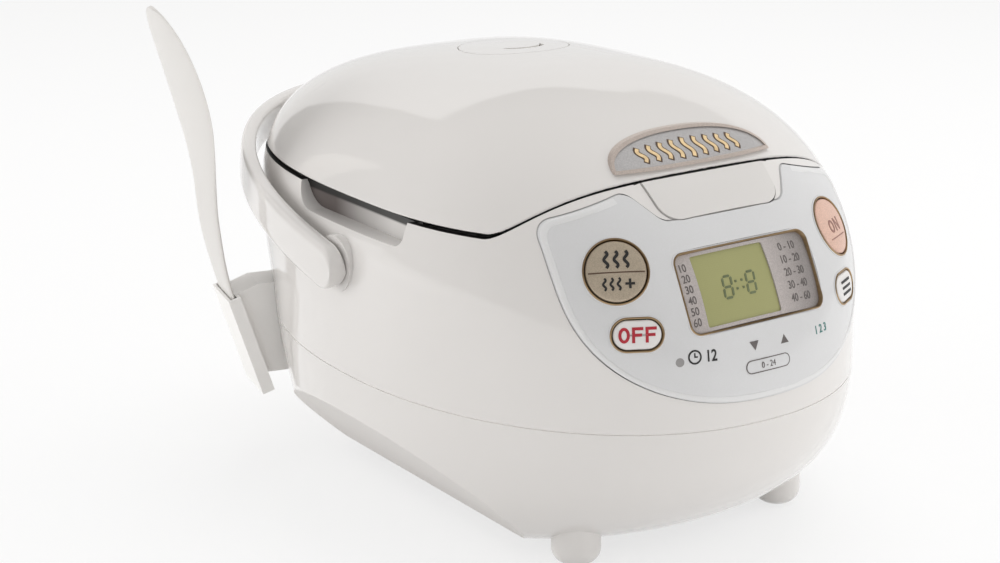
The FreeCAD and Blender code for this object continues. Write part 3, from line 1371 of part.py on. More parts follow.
def spatula_side(start, offset):
    """Side view of the spatula's length, moved sideways: a straight, then two tangent arcs."""
    tilts = [math.radians(value(name)) for name in ("pocket_tilt", "spatula_neck_tilt", "spatula_tip_tilt")]
    lengths = [value("spatula_neck"), value("spatula_bow")]

    def shifted(point, tilt):
        return point + V(0, math.cos(tilt), -math.sin(tilt)) * offset

    bend = start + lean(value("spatula_straight"), tilts[0])
    edges = [Part.makeLine(shifted(start, tilts[0]), shifted(bend, tilts[0]))]
    for first, last, length in zip(tilts, tilts[1:], lengths):
        radius = length / (last - first)

        def along(tilt, origin=bend, turn=first, size=radius):
            step = V(0, math.cos(turn) - math.cos(tilt), math.sin(tilt) - math.sin(turn)) * size
            return shifted(origin + step, tilt)

        edges.append(Part.Arc(along(first), along((first + last) / 2), along(last)).toShape())
        bend += V(0, math.cos(first) - math.cos(last), math.sin(last) - math.sin(first)) * radius
    return edges


def holder_place(item):
    """Stand an object at the holder's place, with its y axis straight out from the body."""
    item.Placement.Rotation = FreeCAD.Rotation(UP, value("holder_turn"))
    place(item, "-holder_side", "holder_reach", "0")
    return item


def make_spatula():
    """Rice spatula and the open-topped pocket that holds it on the body's left rear."""
    tilt = math.radians(value("pocket_tilt"))
    base = V(0, value("pocket_out"), value("pocket_level"))
    grip, blade, thick = value("spatula_grip"), value("spatula_blade"), value("spatula_thick")
    start = base + lean(value("pocket_wall + seat_gap"), tilt)
    sides = [spatula_side(start, offset) for offset in (-thick / 2, thick / 2)]
    ends = [
        Part.makeLine(sides[0][end].Vertexes[end].Point, sides[1][end].Vertexes[end].Point) for end in (0, -1)
    ]
    body = prism("spatula_body", [*sides[0], *sides[1], *ends], V(-blade, 0, 0), V(2 * blade, 0, 0))
    tip = sides[0][-1].Vertexes[-1].Point.z
    high = start.z + value("spatula_straight") * math.cos(tilt)
    half_face = [
        V(grip, 0, high), V(value("spatula_waist"), 0, high + value("spatula_waist_rise")),
        V(value("blade_low_half"), 0, high + value("blade_low_rise")),
        V(value("blade_mid_half"), 0, high + value("blade_mid_rise")),
        V(blade, 0, high + value("blade_wide_rise")),
        V(value("blade_top_half"), 0, tip - value("blade_top_drop")), V(0, 0, tip),
    ]
    face = smooth([*half_face, *[V(-point.x, 0, point.z) for point in reversed(half_face[:-1])]])
    low = [V(-grip, 0, high), V(-grip, 0, 0), V(grip, 0, 0), V(grip, 0, high)]
    outline = prism("spatula_face", [face, *rounded_path(low, [0] * 4)], V(),
                    V(0, 2 * value("lid_height"), 0))
    keep(holder_place(common("spatula", body, outline)))
    make_holder(base, tilt)


def make_holder(base, tilt):
    """Pocket for the spatula's grip, with the bracket that carries it on the body."""
    wall = value("pocket_wall")
    rotation = FreeCAD.Rotation(RIGHT, -math.degrees(tilt))
    half_width = "(spatula_grip + pocket_clearance + pocket_wall)"
    half_depth = "(spatula_thick / 2 + pocket_clearance + pocket_wall)"
    sleeve = box("pocket_sleeve", ("0", f"2 * {half_width}"), ("0", f"2 * {half_depth}"),
                 ("0", "pocket_length"))
    hollow = box("pocket_hollow", ("0", f"2 * ({half_width} - pocket_wall)"),
                 ("0", f"2 * ({half_depth} - pocket_wall)"), ("0", "2 * pocket_length"))
    for item, inset in ((sleeve, 0), (hollow, wall)):
        corner = V(-value(half_width) + inset, -value(half_depth) + inset, inset)
        set_at(item, base + rotation.multVec(corner), rotation)
    low, high = value("bracket_low"), value("bracket_high")
    middle = base + lean((low - base.z) / math.cos(tilt), tilt)
    shoulder = base + lean(value("pocket_length"), tilt)
    inner = -2 * value("pocket_out")
    corners = [V(0, inner, low), middle, shoulder, V(0, shoulder.y / 2, high), V(0, inner, high)]
    half = value("bracket_half_width")
    bracket = prism("holder_bracket", rounded_path(corners, [0] * 5, True), V(-half, 0, 0), V(2 * half, 0, 0))
    blank = holder_place(cut("holder_blank", fuse("holder_solid", sleeve, bracket), hollow))
    keep(cut("spatula_holder", blank, outer_form))


make_body_shell()
make_base()
make_feet()
make_deck()
make_chamber()
make_sensor()
make_panel()
make_power_board()
make_cord_outlet()
make_latch()
make_lid()
make_handle()
make_spatula()
document.recompute()

for item in document.Objects:
    if "Invalid" in item.State or "Error" in item.State:
        raise RuntimeError(f"{item.Label} failed: {item.State}")
for label, item in pieces.items():
    shape = item.Shape
    if shape.isNull() or not shape.isValid() or not shape.Solids:
        raise RuntimeError(f"{label} has no valid solid")

os.makedirs("parts", exist_ok=True)
for label, item in pieces.items():
    item.Shape.exportStep(f"parts/{label}.step")
    solids = item.Shape.Solids
    print(f"{label}: {len(solids)} solids, {sum(solid.Volume for solid in solids) / 1000:.2f} cm3")
print(f"{len(pieces)} pieces")
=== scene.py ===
"""Looks of an egg-shaped rice cooker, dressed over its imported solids."""

import logging
import math
from collections.abc import Callable
from dataclasses import dataclass, field, replace
from enum import Enum

import bmesh
import bpy
from mathutils import Matrix, Vector


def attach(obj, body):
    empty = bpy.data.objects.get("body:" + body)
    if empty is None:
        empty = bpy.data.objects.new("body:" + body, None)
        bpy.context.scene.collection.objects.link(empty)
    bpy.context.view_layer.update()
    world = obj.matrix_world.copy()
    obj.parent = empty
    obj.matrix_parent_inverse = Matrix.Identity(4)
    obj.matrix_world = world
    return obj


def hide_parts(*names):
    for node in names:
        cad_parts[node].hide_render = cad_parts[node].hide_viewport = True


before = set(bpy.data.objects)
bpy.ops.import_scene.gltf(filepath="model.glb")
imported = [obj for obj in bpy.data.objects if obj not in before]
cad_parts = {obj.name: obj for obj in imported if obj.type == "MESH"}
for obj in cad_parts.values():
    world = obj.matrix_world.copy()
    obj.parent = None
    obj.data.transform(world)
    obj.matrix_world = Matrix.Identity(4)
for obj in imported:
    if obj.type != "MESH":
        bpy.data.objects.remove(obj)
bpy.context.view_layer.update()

log = logging.getLogger("rice_cooker")

MM = 0.001
WELD_DISTANCE = 1e-6
WHITE = (1.0, 1.0, 1.0)

Colour = tuple[float, float, float]
Place = tuple[float, float, float]
Flat = tuple[float, float]
Loop = tuple[int, ...]
Skin = tuple[list[Vector], list[Loop]]
Section = tuple[Flat, ...]
Socket = bpy.types.NodeSocket
Face = bpy.types.MeshPolygon


class Body(Enum):
    """Bodies of the part that a piece can ride on."""

    COOKER = "cooker"
    LID = "lid"
    HANDLE = "carrying_handle"
    SPATULA = "rice_spatula"
    KEEP_WARM = "keep_warm_button"
    COOK = "cook_button"
    RESET = "reset_button"
    MENU = "menu_button"


class Slot(Enum):
    """Material slots of the part's record."""

    WHITE = "white_plastic"
    PANEL = "pearl_panel"
    GOLD = "gold_trim"
    BADGE = "badge_metal"
    MASK = "mask_mauve"
    DISPLAY = "display_green"
    SALMON = "salmon_key"
    GOLD_KEY = "gold_key"
    WHITE_KEY = "white_key"
    SPATULA = "spatula_white"


# Node trees


class Axis(Enum):
    """Axes of a piece's own space, or of the room."""

    X = "X"
    Y = "Y"
    Z = "Z"


class Merge(Enum):
    """Ways to work out one value from two."""

    SUM = "ADD"
    PRODUCT = "MULTIPLY"
    LARGER = "MAXIMUM"


class NodeSheet:
    """A node tree, with short ways to add and join its nodes."""

    def __init__(self, tree: bpy.types.NodeTree) -> None:
        """Take up a tree."""
        self.tree = tree

    def add(self, kind: str, **settings: object) -> bpy.types.Node:
        """Add a node.

        Args:
            kind: Type of the node.
            settings: Properties of the node, or values of its inputs by their names with _ for spaces.

        Returns:
            The new node.
        """
        node = self.tree.nodes.new(kind)
        for key, setting in settings.items():
            title = key.replace("_", " ").title()
            if title in node.inputs and not hasattr(node, key):
                node.inputs[title].default_value = setting
            else:
                setattr(node, key, setting)
        return node

    def join(self, start: Socket, end: Socket) -> None:
        """Link two sockets."""
        self.tree.links.new(start, end)

    def merge(self, way: Merge, first: Socket, second: Socket) -> Socket:
        """Work out one value from two.

        Args:
            way: What is done with the two values.
            first: Socket with the first value.
            second: Socket with the second value.

        Returns:
            The result's socket.
        """
        node = self.add("ShaderNodeMath", operation=way.value)
        self.join(first, node.inputs[0])
        self.join(second, node.inputs[1])
        return node.outputs[0]

    def remap(self, value: Socket, source: Flat = (0.0, 1.0), target: Flat = (0.0, 1.0)) -> Socket:
        """Map a value from one range onto another.

        Args:
            value: Socket with the value.
            source: Ends of the range that it comes from, beyond which it is held.
            target: Ends of the range that it goes to.

        Returns:
            The result's socket.
        """
        node = self.add(
            "ShaderNodeMapRange", from_min=source[0], from_max=source[1], to_min=target[0], to_max=target[1],
        )
        self.join(value, node.inputs["Value"])
        return node.outputs["Result"]


class SurfaceSheet(NodeSheet):
    """A material's node tree, round one principled shader."""

    def __init__(self, name: str) -> None:
        """Start a material.

        Args:
            name: Name of the material.
        """
        self.material = bpy.data.materials.new(name)
        self.material.use_nodes = True
        super().__init__(self.material.node_tree)
        self.shader = self.tree.nodes["Principled BSDF"]
        self.place = self.add("ShaderNodeTexCoord").outputs["Object"]

    def feed(self, socket: str, source: Socket) -> None:
        """Link a value to one of the shader's own sockets."""
        self.join(source, self.shader.inputs[socket])

    def fix(self, **values: float) -> None:
        """Set numbers on the shader's own sockets, by their names with _ for spaces."""
        for key, number in values.items():
            self.shader.inputs[key.replace("_", " ").title().replace("Ior", "IOR")].default_value = number

    def along(self, axis: Axis) -> Socket:
        """Give one coordinate of the piece's own space.

        Args:
            axis: Axis of the coordinate.

        Returns:
            The coordinate's socket.
        """
        split = self.add("ShaderNodeSeparateXYZ")
        self.join(self.place, split.inputs["Vector"])
        return split.outputs[axis.value]

    def noise(self, scale: float, detail: float = 2.0, stretch: Place = (1.0, 1.0, 1.0)) -> Socket:
        """Add a noise in the piece's own space.

        Args:
            scale: Patches to the metre.
            detail: Octaves of the noise.
            stretch: Scale along each axis, for a grain.

        Returns:
            The noise's value.
        """
        spread = self.add("ShaderNodeMapping", scale=stretch)
        self.join(self.place, spread.inputs["Vector"])
        node = self.add("ShaderNodeTexNoise", scale=scale, detail=detail)
        self.join(spread.outputs["Vector"], node.inputs["Vector"])
        return node.outputs["Fac"]

    def cells(self, scale: float) -> bpy.types.Node:
        """Add irregular cells in the piece's own space.

        Args:
            scale: Cells to the metre.

        Returns:
            The node.
        """
        node = self.add("ShaderNodeTexVoronoi", scale=scale)
        self.join(self.place, node.inputs["Vector"])
        return node

    def flakes(self, scale: float) -> tuple[Socket, Socket]:
        """Add small flakes, each with two values drawn for it.

        Args:
            scale: Flakes to the metre.

        Returns:
            Sockets with the two values.
        """
        split = self.add("ShaderNodeSeparateColor")
        self.join(self.cells(scale).outputs["Color"], split.inputs["Color"])
        return split.outputs["Red"], split.outputs["Green"]

    def bricks(
        self, place: Socket, size: Flat, joint: float, colours: tuple[Colour, Colour, Colour], offset: float,
    ) -> bpy.types.Node:
        """Add rows of bricks.

        Args:
            place: Socket with the place.
            size: Width and height of a brick in metres.
            joint: Width of the joints in metres.
            colours: Two colours of bricks, and the joints' colour.
            offset: Shift of every other row, as a share of a brick's width.

        Returns:
            The node.
        """
        first, second, between = ((*colour, 1.0) for colour in colours)
        node = self.add(
            "ShaderNodeTexBrick", scale=1.0, offset=offset, color1=first, color2=second, mortar=between,
            mortar_size=joint, brick_width=size[0], row_height=size[1],
        )
        self.join(place, node.inputs["Vector"])
        return node

    def ramp(self, value: Socket, stops: list[tuple[float, Colour]]) -> Socket:
        """Turn a value into a colour.

        Args:
            value: Socket with the value.
            stops: Places and colours of the ramp.

        Returns:
            The colour's socket.
        """
        node = self.add("ShaderNodeValToRGB")
        elements = node.color_ramp.elements
        while len(elements) < len(stops):
            elements.new(stops[-1][0])
        for element, (place, colour) in zip(elements, stops):
            element.position = place
            element.color = (*colour, 1.0)
        self.join(value, node.inputs["Fac"])
        return node.outputs["Color"]

    def shaded(self, tone: Socket, shade: Socket, amount: float = 1.0) -> Socket:
        """Darken a colour by another one.

        Args:
            tone: Socket with the colour.
            shade: Socket with the colour that it is multiplied by.
            amount: Share of the darkening.

        Returns:
            The darkened colour's socket.
        """
        mix = self.add("ShaderNodeMixRGB", blend_type="MULTIPLY", fac=amount)
        self.join(tone, mix.inputs["Color1"])
        self.join(shade, mix.inputs["Color2"])
        return mix.outputs["Color"]

    def dimmed(self, tone: Socket, axis: Axis, run: Flat, end: float) -> Socket:
        """Darken a colour along an axis of the piece.

        Args:
            tone: Socket with the colour.
            axis: The axis.
            run: Where the darkening starts and ends, in metres.
            end: Share of the colour that is left at the end.

        Returns:
            The darkened colour's socket.
        """
        share = self.remap(self.along(axis), run)
        shade = self.ramp(share, [(0.0, WHITE), (1.0, (end, end, end))])
        return self.shaded(tone, shade)

    def gloss(self, value: Socket, middle: float, swing: float) -> None:
        """Let a value move the roughness up and down from a middle by a share of it."""
        self.feed("Roughness", self.remap(value, target=(middle * (1 - swing), middle * (1 + swing))))

    def emboss(self, height: Socket, strength: float, depth: float) -> None:
        """Bump the surface by a height.

        Args:
            height: Socket with the height.
            strength: Strength of the bump.
            depth: Depth in metres that a height of one stands for.
        """
        node = self.add("ShaderNodeBump", strength=strength, distance=depth)
        self.join(height, node.inputs["Height"])
        self.feed("Normal", node.outputs["Normal"])


# Finishes


def toned(colour: Colour, factor: float) -> Colour:
    """Colour made lighter or darker by a factor."""
    return tuple(min(1.0, channel * factor) for channel in colour)


@dataclass(frozen=True)
class Finish:
    """A surface's look, turned into one material on first use."""

    name: str
    colour: Colour
    roughness: float = 0.3

    def paint(self, sheet: SurfaceSheet) -> None:
        """Add the finish's own nodes to a sheet."""
        raise NotImplementedError

    def mottle(
        self, sheet: SurfaceSheet, value: Socket, dim: float, bright: float = 1.0, stops: Flat = (0.3, 0.7),
    ) -> Socket:
        """Let a value move the colour between two tones.

        Args:
            sheet: Node tree to paint into.
            value: Socket with the value.
            dim: Factor of the first tone.
            bright: Factor of the second tone.
            stops: Values at which the two tones are reached.

        Returns:
            The colour's socket.
        """
        low, high = stops
        tones = [(low, toned(self.colour, dim)), (high, toned(self.colour, bright))]
        return sheet.ramp(value, tones)

    def material(self) -> bpy.types.Material:
        """Give the finish's material, made once.

        Returns:
            The material.
        """
        title = f"{self.name}_finish"
        made = bpy.data.materials.get(title)
        if made is None:
            sheet = SurfaceSheet(title)
            self.paint(sheet)
            made = sheet.material
        return made


@dataclass(frozen=True)
class MouldedPlastic(Finish):
    """Injection-moulded plastic: faint tone drift, uneven gloss and a slight orange peel."""

    coat: float = 0.0
    peel: float = 0.02
    peel_scale: float = 260.0
    drift: float = 0.975

    def paint(self, sheet: SurfaceSheet) -> None:
        """Add drift, gloss and peel.

        Args:
            sheet: Node tree to paint into.
        """
        cloud = sheet.noise(scale=9.0, detail=3.0)
        sheet.feed("Base Color", self.mottle(sheet, cloud, self.drift))
        sheet.gloss(sheet.noise(scale=38.0, detail=4.0), self.roughness, swing=0.15)
        sheet.emboss(sheet.noise(self.peel_scale), self.peel, depth=0.0004)
        sheet.fix(coat_weight=self.coat, coat_roughness=0.04, ior=1.5)


@dataclass(frozen=True)
class PearlLacquer(Finish):
    """Pearl white lacquer with fine flakes under a clear coat."""

    flake: Colour = (0.9, 0.9, 0.95)
    flake_start: float = 0.55

    def paint(self, sheet: SurfaceSheet) -> None:
        """Add flakes, their uneven gloss and the clear coat.

        Args:
            sheet: Node tree to paint into.
        """
        shine, dullness = sheet.flakes(scale=2600.0)
        tone = sheet.ramp(shine, [(self.flake_start, self.colour), (1.0, self.flake)])
        sheet.feed("Base Color", tone)
        sheet.gloss(dullness, self.roughness, swing=0.2)
        sheet.emboss(sheet.noise(scale=240.0), strength=0.015, depth=0.0004)
        sheet.fix(coat_weight=0.35, coat_roughness=0.05, ior=1.5)


@dataclass(frozen=True)
class BrushedMetal(Finish):
    """Metal with a grain along one axis."""

    grain: Place = (20.0, 20.0, 700.0)

    def paint(self, sheet: SurfaceSheet) -> None:
        """Add the grain to colour, gloss and surface.

        Args:
            sheet: Node tree to paint into.
        """
        lines = sheet.noise(scale=1.6, detail=3.0, stretch=self.grain)
        sheet.feed("Base Color", self.mottle(sheet, lines, dim=0.82))
        sheet.gloss(lines, self.roughness, swing=0.25)
        sheet.emboss(lines, strength=0.03, depth=0.0003)
        sheet.fix(metallic=1.0)


@dataclass(frozen=True)
class SatinPaint(Finish):
    """Metallic paint: half-metal base with fine sparkle, which may darken to the right by painted shade."""

    metal: float = 0.55
    fade: float = 1.0
    painted_shade_run: Flat = (0.012, 0.036)

    def paint(self, sheet: SurfaceSheet) -> None:
        """Add the sparkle, the painted shade towards the right and the paint's gloss.

        Args:
            sheet: Node tree to paint into.
        """
        sparkle, tilt = sheet.flakes(scale=3200.0)
        tone = self.mottle(sheet, sparkle, dim=0.88, bright=1.08, stops=(0.1, 0.9))
        # Painted shade: the colour darkens towards the right, as in the recess of the display's frame
        if self.fade < 1.0:
            tone = sheet.dimmed(tone, Axis.X, self.painted_shade_run, self.fade)
        sheet.feed("Base Color", tone)
        sheet.gloss(sheet.noise(scale=60.0), self.roughness, swing=0.15)
        sheet.emboss(tilt, strength=0.02, depth=0.0001)
        sheet.fix(metallic=self.metal, coat_weight=0.2, coat_roughness=0.08)


@dataclass(frozen=True)
class LiquidCrystal(Finish):
    """Unlit liquid crystal: a slow tone drift over a fine cell grid, under clear glass."""

    cell: float = 0.0008
    joint: float = 0.00006
    second_tone: float = 0.985
    joint_tone: float = 0.95
    cloud: Colour = (0.9, 0.92, 0.86)
    cloud_stops: Flat = (0.3, 0.7)
    cloud_share: float = 0.6

    def paint(self, sheet: SurfaceSheet) -> None:
        """Add the drift, the grid and the glass's gloss.

        Args:
            sheet: Node tree to paint into.
        """
        upright = sheet.add("ShaderNodeMapping", rotation=(math.radians(90), 0.0, 0.0))
        sheet.join(sheet.place, upright.inputs["Vector"])
        colours = (self.colour, toned(self.colour, self.second_tone), toned(self.colour, self.joint_tone))
        size = (self.cell, self.cell)
        grid = sheet.bricks(upright.outputs["Vector"], size, self.joint, colours, offset=0.0)
        low, high = self.cloud_stops
        drift = sheet.ramp(sheet.noise(scale=26.0, detail=1.0), [(low, self.cloud), (high, WHITE)])
        sheet.feed("Base Color", sheet.shaded(grid.outputs["Color"], drift, self.cloud_share))
        sheet.gloss(sheet.noise(scale=50.0), self.roughness, swing=0.2)
        sheet.fix(coat_weight=0.4, coat_roughness=0.03)


@dataclass(frozen=True)
class CoatedPan(Finish):
    """Dark non-stick coat with pale specks."""

    speck: Colour = (0.4, 0.4, 0.42)
    speck_edge: Flat = (0.08, 0.16)

    def paint(self, sheet: SurfaceSheet) -> None:
        """Add the specks and a pebbled surface.

        Args:
            sheet: Node tree to paint into.
        """
        inner, outer = self.speck_edge
        off_middle = sheet.cells(scale=420.0).outputs["Distance"]
        sheet.feed("Base Color", sheet.ramp(off_middle, [(inner, self.speck), (outer, self.colour)]))
        pebble = sheet.noise(scale=700.0, detail=3.0)
        sheet.gloss(pebble, self.roughness, swing=0.2)
        sheet.emboss(pebble, strength=0.1, depth=0.0002)
        sheet.fix(metallic=0.2)


@dataclass(frozen=True)
class CircuitBoard(Finish):
    """Green lacquered board with copper tracks showing through."""

    second_tone: float = 0.85
    track: Colour = (0.16, 0.42, 0.22)
    track_width: float = 0.0004
    field_size: Flat = (0.011, 0.0035)
    lacquer_range: Flat = (0.25, 0.4)

    def paint(self, sheet: SurfaceSheet) -> None:
        """Add the tracks and the lacquer.

        Args:
            sheet: Node tree to paint into.
        """
        colours = (self.colour, toned(self.colour, self.second_tone), self.track)
        tracks = sheet.bricks(sheet.place, self.field_size, self.track_width, colours, offset=0.5)
        sheet.feed("Base Color", tracks.outputs["Color"])
        sheet.feed("Roughness", sheet.remap(sheet.noise(scale=80.0), target=self.lacquer_range))
        sheet.emboss(tracks.outputs["Fac"], strength=0.2, depth=0.0001)


@dataclass(frozen=True)
class GripPaintedShade(Finish):
    """Inside of a side grip with painted shade: darker to the rear, with a painted shadow under the lid, as
    pale as the body at its front end.
    """

    dark: Colour = (0.10, 0.082, 0.077)
    run: Flat = (-0.02, 0.03)
    half_way: float = 0.55
    cloud: float = 0.06
    lid_shade: Flat = (0.1465, 0.1475)
    lid_dark: float = 0.08

    def paint(self, sheet: SurfaceSheet) -> None:
        """Add the painted shade along the grip with a little cloud in it, and the painted shadow under the
        lid.

        Args:
            sheet: Node tree to paint into.
        """
        drift = sheet.remap(sheet.noise(scale=30.0, detail=3.0), target=(-self.cloud, self.cloud))
        # Painted shade: darker towards the rear of the grip
        depth = sheet.merge(Merge.SUM, sheet.remap(sheet.along(Axis.Y), self.run), drift)
        half = tuple((pale + dim) / 2 for pale, dim in zip(self.colour, self.dark))
        tone = sheet.ramp(depth, [(0.0, self.colour), (self.half_way, half), (1.0, self.dark)])
        # Painted shadow: a dark band at the top of the back wall, under the lid's edge
        sheet.feed("Base Color", sheet.dimmed(tone, Axis.Z, self.lid_shade, self.lid_dark))
        sheet.gloss(sheet.noise(scale=50.0), self.roughness, swing=0.1)
        sheet.emboss(sheet.noise(scale=400.0), strength=0.04, depth=0.0003)


@dataclass(frozen=True)
class SoftRubber(Finish):
    """Silicone or rubber with a dusty, slightly uneven skin."""

    def paint(self, sheet: SurfaceSheet) -> None:
        """Add the dust and the skin's waves.

        Args:
            sheet: Node tree to paint into.
        """
        dust = sheet.noise(scale=45.0, detail=5.0)
        sheet.feed("Base Color", self.mottle(sheet, dust, dim=0.9))
        sheet.gloss(dust, self.roughness, swing=0.1)
        sheet.emboss(sheet.noise(scale=500.0), strength=0.08, depth=0.0002)
        sheet.fix(sheen_weight=0.15)


@dataclass(frozen=True)
class PrintInk(Finish):
    """Screen-printed ink with a slightly uneven film."""

    def paint(self, sheet: SurfaceSheet) -> None:
        """Add the film's unevenness.

        Args:
            sheet: Node tree to paint into.
        """
        film = sheet.noise(scale=420.0, detail=3.0)
        sheet.feed("Base Color", self.mottle(sheet, film, dim=0.85, bright=1.1))
        sheet.gloss(film, self.roughness, swing=0.15)
        sheet.emboss(film, strength=0.03, depth=0.0001)


GLOSS_WHITE = MouldedPlastic("gloss_white", (0.73, 0.707, 0.687), 0.06, coat=0.5, peel=0.004)
BUTTON_WHITE = MouldedPlastic("button_white", (0.68, 0.66, 0.64), 0.24, coat=0.15)
SATIN_WHITE = MouldedPlastic("satin_white", (0.70, 0.68, 0.655), 0.34, peel=0.03)
PALE_WHITE = MouldedPlastic("pale_white", (0.89, 0.875, 0.855), 0.4, peel=0.03, drift=0.985)
BASE_MATTE = MouldedPlastic("base_matte", (0.735, 0.713, 0.695), 0.75, peel=0.35, peel_scale=900.0)
# Painted light: paler than the body, to lift the shade in the base's groove and in the vent's gap and slot
GROOVE_PAINTED_LIGHT = MouldedPlastic("groove_painted_light", (0.88, 0.86, 0.84), 0.5)
KEY_WHITE = MouldedPlastic("key_white", (0.745, 0.725, 0.71), 0.34, peel=0.03)
# Painted shade inside the side grips
GRIP_PAINTED_SHADE = GripPaintedShade("grip_painted_shade", (0.66, 0.64, 0.62), 0.45)
DECK_GREY = MouldedPlastic("deck_grey", (0.30, 0.30, 0.295), 0.45, peel=0.08, drift=0.93)
MOULDED_BLACK = MouldedPlastic("moulded_black", (0.02, 0.02, 0.02), 0.4, peel=0.1, drift=0.85)
# Painted shadow of the lid's joint, laid on the white rims either side of it
JOINT_PAINTED_SHADOW = MouldedPlastic("joint_painted_shadow", (0.02, 0.019, 0.018), 0.5, peel=0.1, drift=0.85)
LAMP_GREY = MouldedPlastic("lamp_grey", (0.30, 0.29, 0.285), 0.25, coat=0.3)
PEARL = PearlLacquer("pearl", (0.64, 0.639, 0.642), 0.2, flake=(0.652, 0.652, 0.66))
# Paler pearl for the panel's lip: a painted highlight along the panel's edge
PEARL_LIP_HIGHLIGHT = PearlLacquer("pearl_lip_highlight", (0.71, 0.707, 0.706), 0.2, flake=(0.72, 0.719, 0.722))
SALMON = SatinPaint("salmon", (0.70, 0.46, 0.365), 0.42, metal=0.05)
GOLD_BEIGE = SatinPaint("gold_beige", (0.52, 0.435, 0.33), 0.36, metal=0.4)
# The mask is darker towards its right side: painted shade from the display's frame
MASK_MAUVE = SatinPaint("mask_mauve", (0.48, 0.435, 0.418), 0.32, metal=0.1, fade=0.5)
BADGE_SILVER = SatinPaint("badge_silver", (0.505, 0.49, 0.487), 0.34, metal=0.25)
RIM_GOLD = BrushedMetal("rim_gold", (0.50, 0.35, 0.20), 0.34)
RIM_ROSE = SatinPaint("rim_rose", (0.60, 0.515, 0.46), 0.32, metal=0.4)
STEEL = BrushedMetal("steel", (0.62, 0.62, 0.63), 0.3)
ALUMINIUM = BrushedMetal("aluminium", (0.74, 0.74, 0.75), 0.35, grain=(400.0, 20.0, 20.0))
LCD_GREEN = LiquidCrystal("lcd_green", (0.355, 0.35, 0.155), 0.3)
PAN_COAT = CoatedPan("pan_coat", (0.03, 0.03, 0.032), 0.45)
BOARD_GREEN = CircuitBoard("board_green", (0.03, 0.16, 0.07))
SILICONE = SoftRubber("silicone", (0.62, 0.61, 0.59), 0.55)
OUTLET_GREY = SoftRubber("outlet_grey", (0.55, 0.54, 0.52), 0.5)
INK_BLACK = PrintInk("ink_black", (0.025, 0.024, 0.023), 0.5)
INK_GREY = PrintInk("ink_grey", (0.13, 0.115, 0.11), 0.5)
INK_RED = PrintInk("ink_red", (0.42, 0.02, 0.035), 0.45)
INK_TEAL = PrintInk("ink_teal", (0.07, 0.22, 0.20), 0.45)
INK_LCD = PrintInk("ink_lcd", (0.14, 0.165, 0.085), 0.4)
INK_GOLD = PrintInk("ink_gold", (0.78, 0.58, 0.32), 0.35)
INK_BROWN = PrintInk("ink_brown", (0.10, 0.06, 0.04), 0.45)
INK_ROSE = PrintInk("ink_rose", (0.30, 0.15, 0.12), 0.45)


# Form of the body


def eased(share: float) -> float:
    """Smooth step from 0 to 1, held at both ends."""
    held = min(1.0, max(0.0, share))
    return held * held * (3 - 2 * held)


@dataclass(frozen=True)
class EggForm:
    """Outer surface of body and lid, in millimetres, by the same curves as the solids."""

    half_width: float = 120.3
    front_reach: float = 153.3
    top: float = 206.0
    close: float = -11.5
    front_belly: float = 72.7
    side_belly: float = 42.8
    front_crown: float = 2.0
    side_crown: float = 4.64
    front_bowl: float = 2.28
    side_bowl: float = 4.0
    power_low: float = 2.0
    power_mid: float = 2.17
    power_top: float = 2.99
    mid_height: float = 93.6
    normal_step: float = 0.5

    def grown(self, margin: float) -> "EggForm":
        """Form moved out by a margin, or in by a negative one."""
        return replace(self, half_width=self.half_width + margin, front_reach=self.front_reach + margin,
                       top=self.top + margin, close=self.close - margin)

    def reach(self, level: float, widest: float, belly: float, crown: float, bowl: float) -> float:
        """Give the distance from the middle to the surface at one height.

        Args:
            level: Height above the table.
            widest: Reach at the belly.
            belly: Height of the widest place.
            crown: Power of the curve above the belly.
            bowl: Power of the curve below it.

        Returns:
            The distance.
        """
        if level >= belly:
            share = ((level - belly) / (self.top - belly)) ** crown
        else:
            share = ((belly - level) / (belly - self.close)) ** bowl
        return widest * math.sqrt(max(0.0, 1.0 - share))

    def depth(self, x: float, level: float) -> float:
        """Give the depth of the front surface at a place of the front view.

        Args:
            x: Place to the right of the middle.
            level: Height above the table.

        Returns:
            The place along y.
        """
        side = self.reach(level, self.half_width, self.side_belly, self.side_crown, self.side_bowl)
        front = self.reach(level, self.front_reach, self.front_belly, self.front_crown, self.front_bowl)
        power = self.power_mid
        if level > self.mid_height:
            power += (self.power_top - power) * (level - self.mid_height) / (self.top - self.mid_height)
        else:
            power += (self.power_low - power) * (self.mid_height - level) / self.mid_height
        return -front * max(0.0, 1.0 - (abs(x) / side) ** power) ** (1.0 / power)

    def normal(self, x: float, level: float) -> Vector:
        """Give the direction straight out of the front surface.

        Args:
            x: Place to the right of the middle.
            level: Height above the table.

        Returns:
            The direction.
        """
        step = self.normal_step
        across = Vector((2 * step, self.depth(x + step, level) - self.depth(x - step, level), 0.0))
        along = Vector((0.0, self.depth(x, level + step) - self.depth(x, level - step), 2 * step))
        return across.cross(along).normalized()


EGG = EggForm()
PANEL_PROUD = 0.6
PANEL_FORM = EGG.grown(PANEL_PROUD)


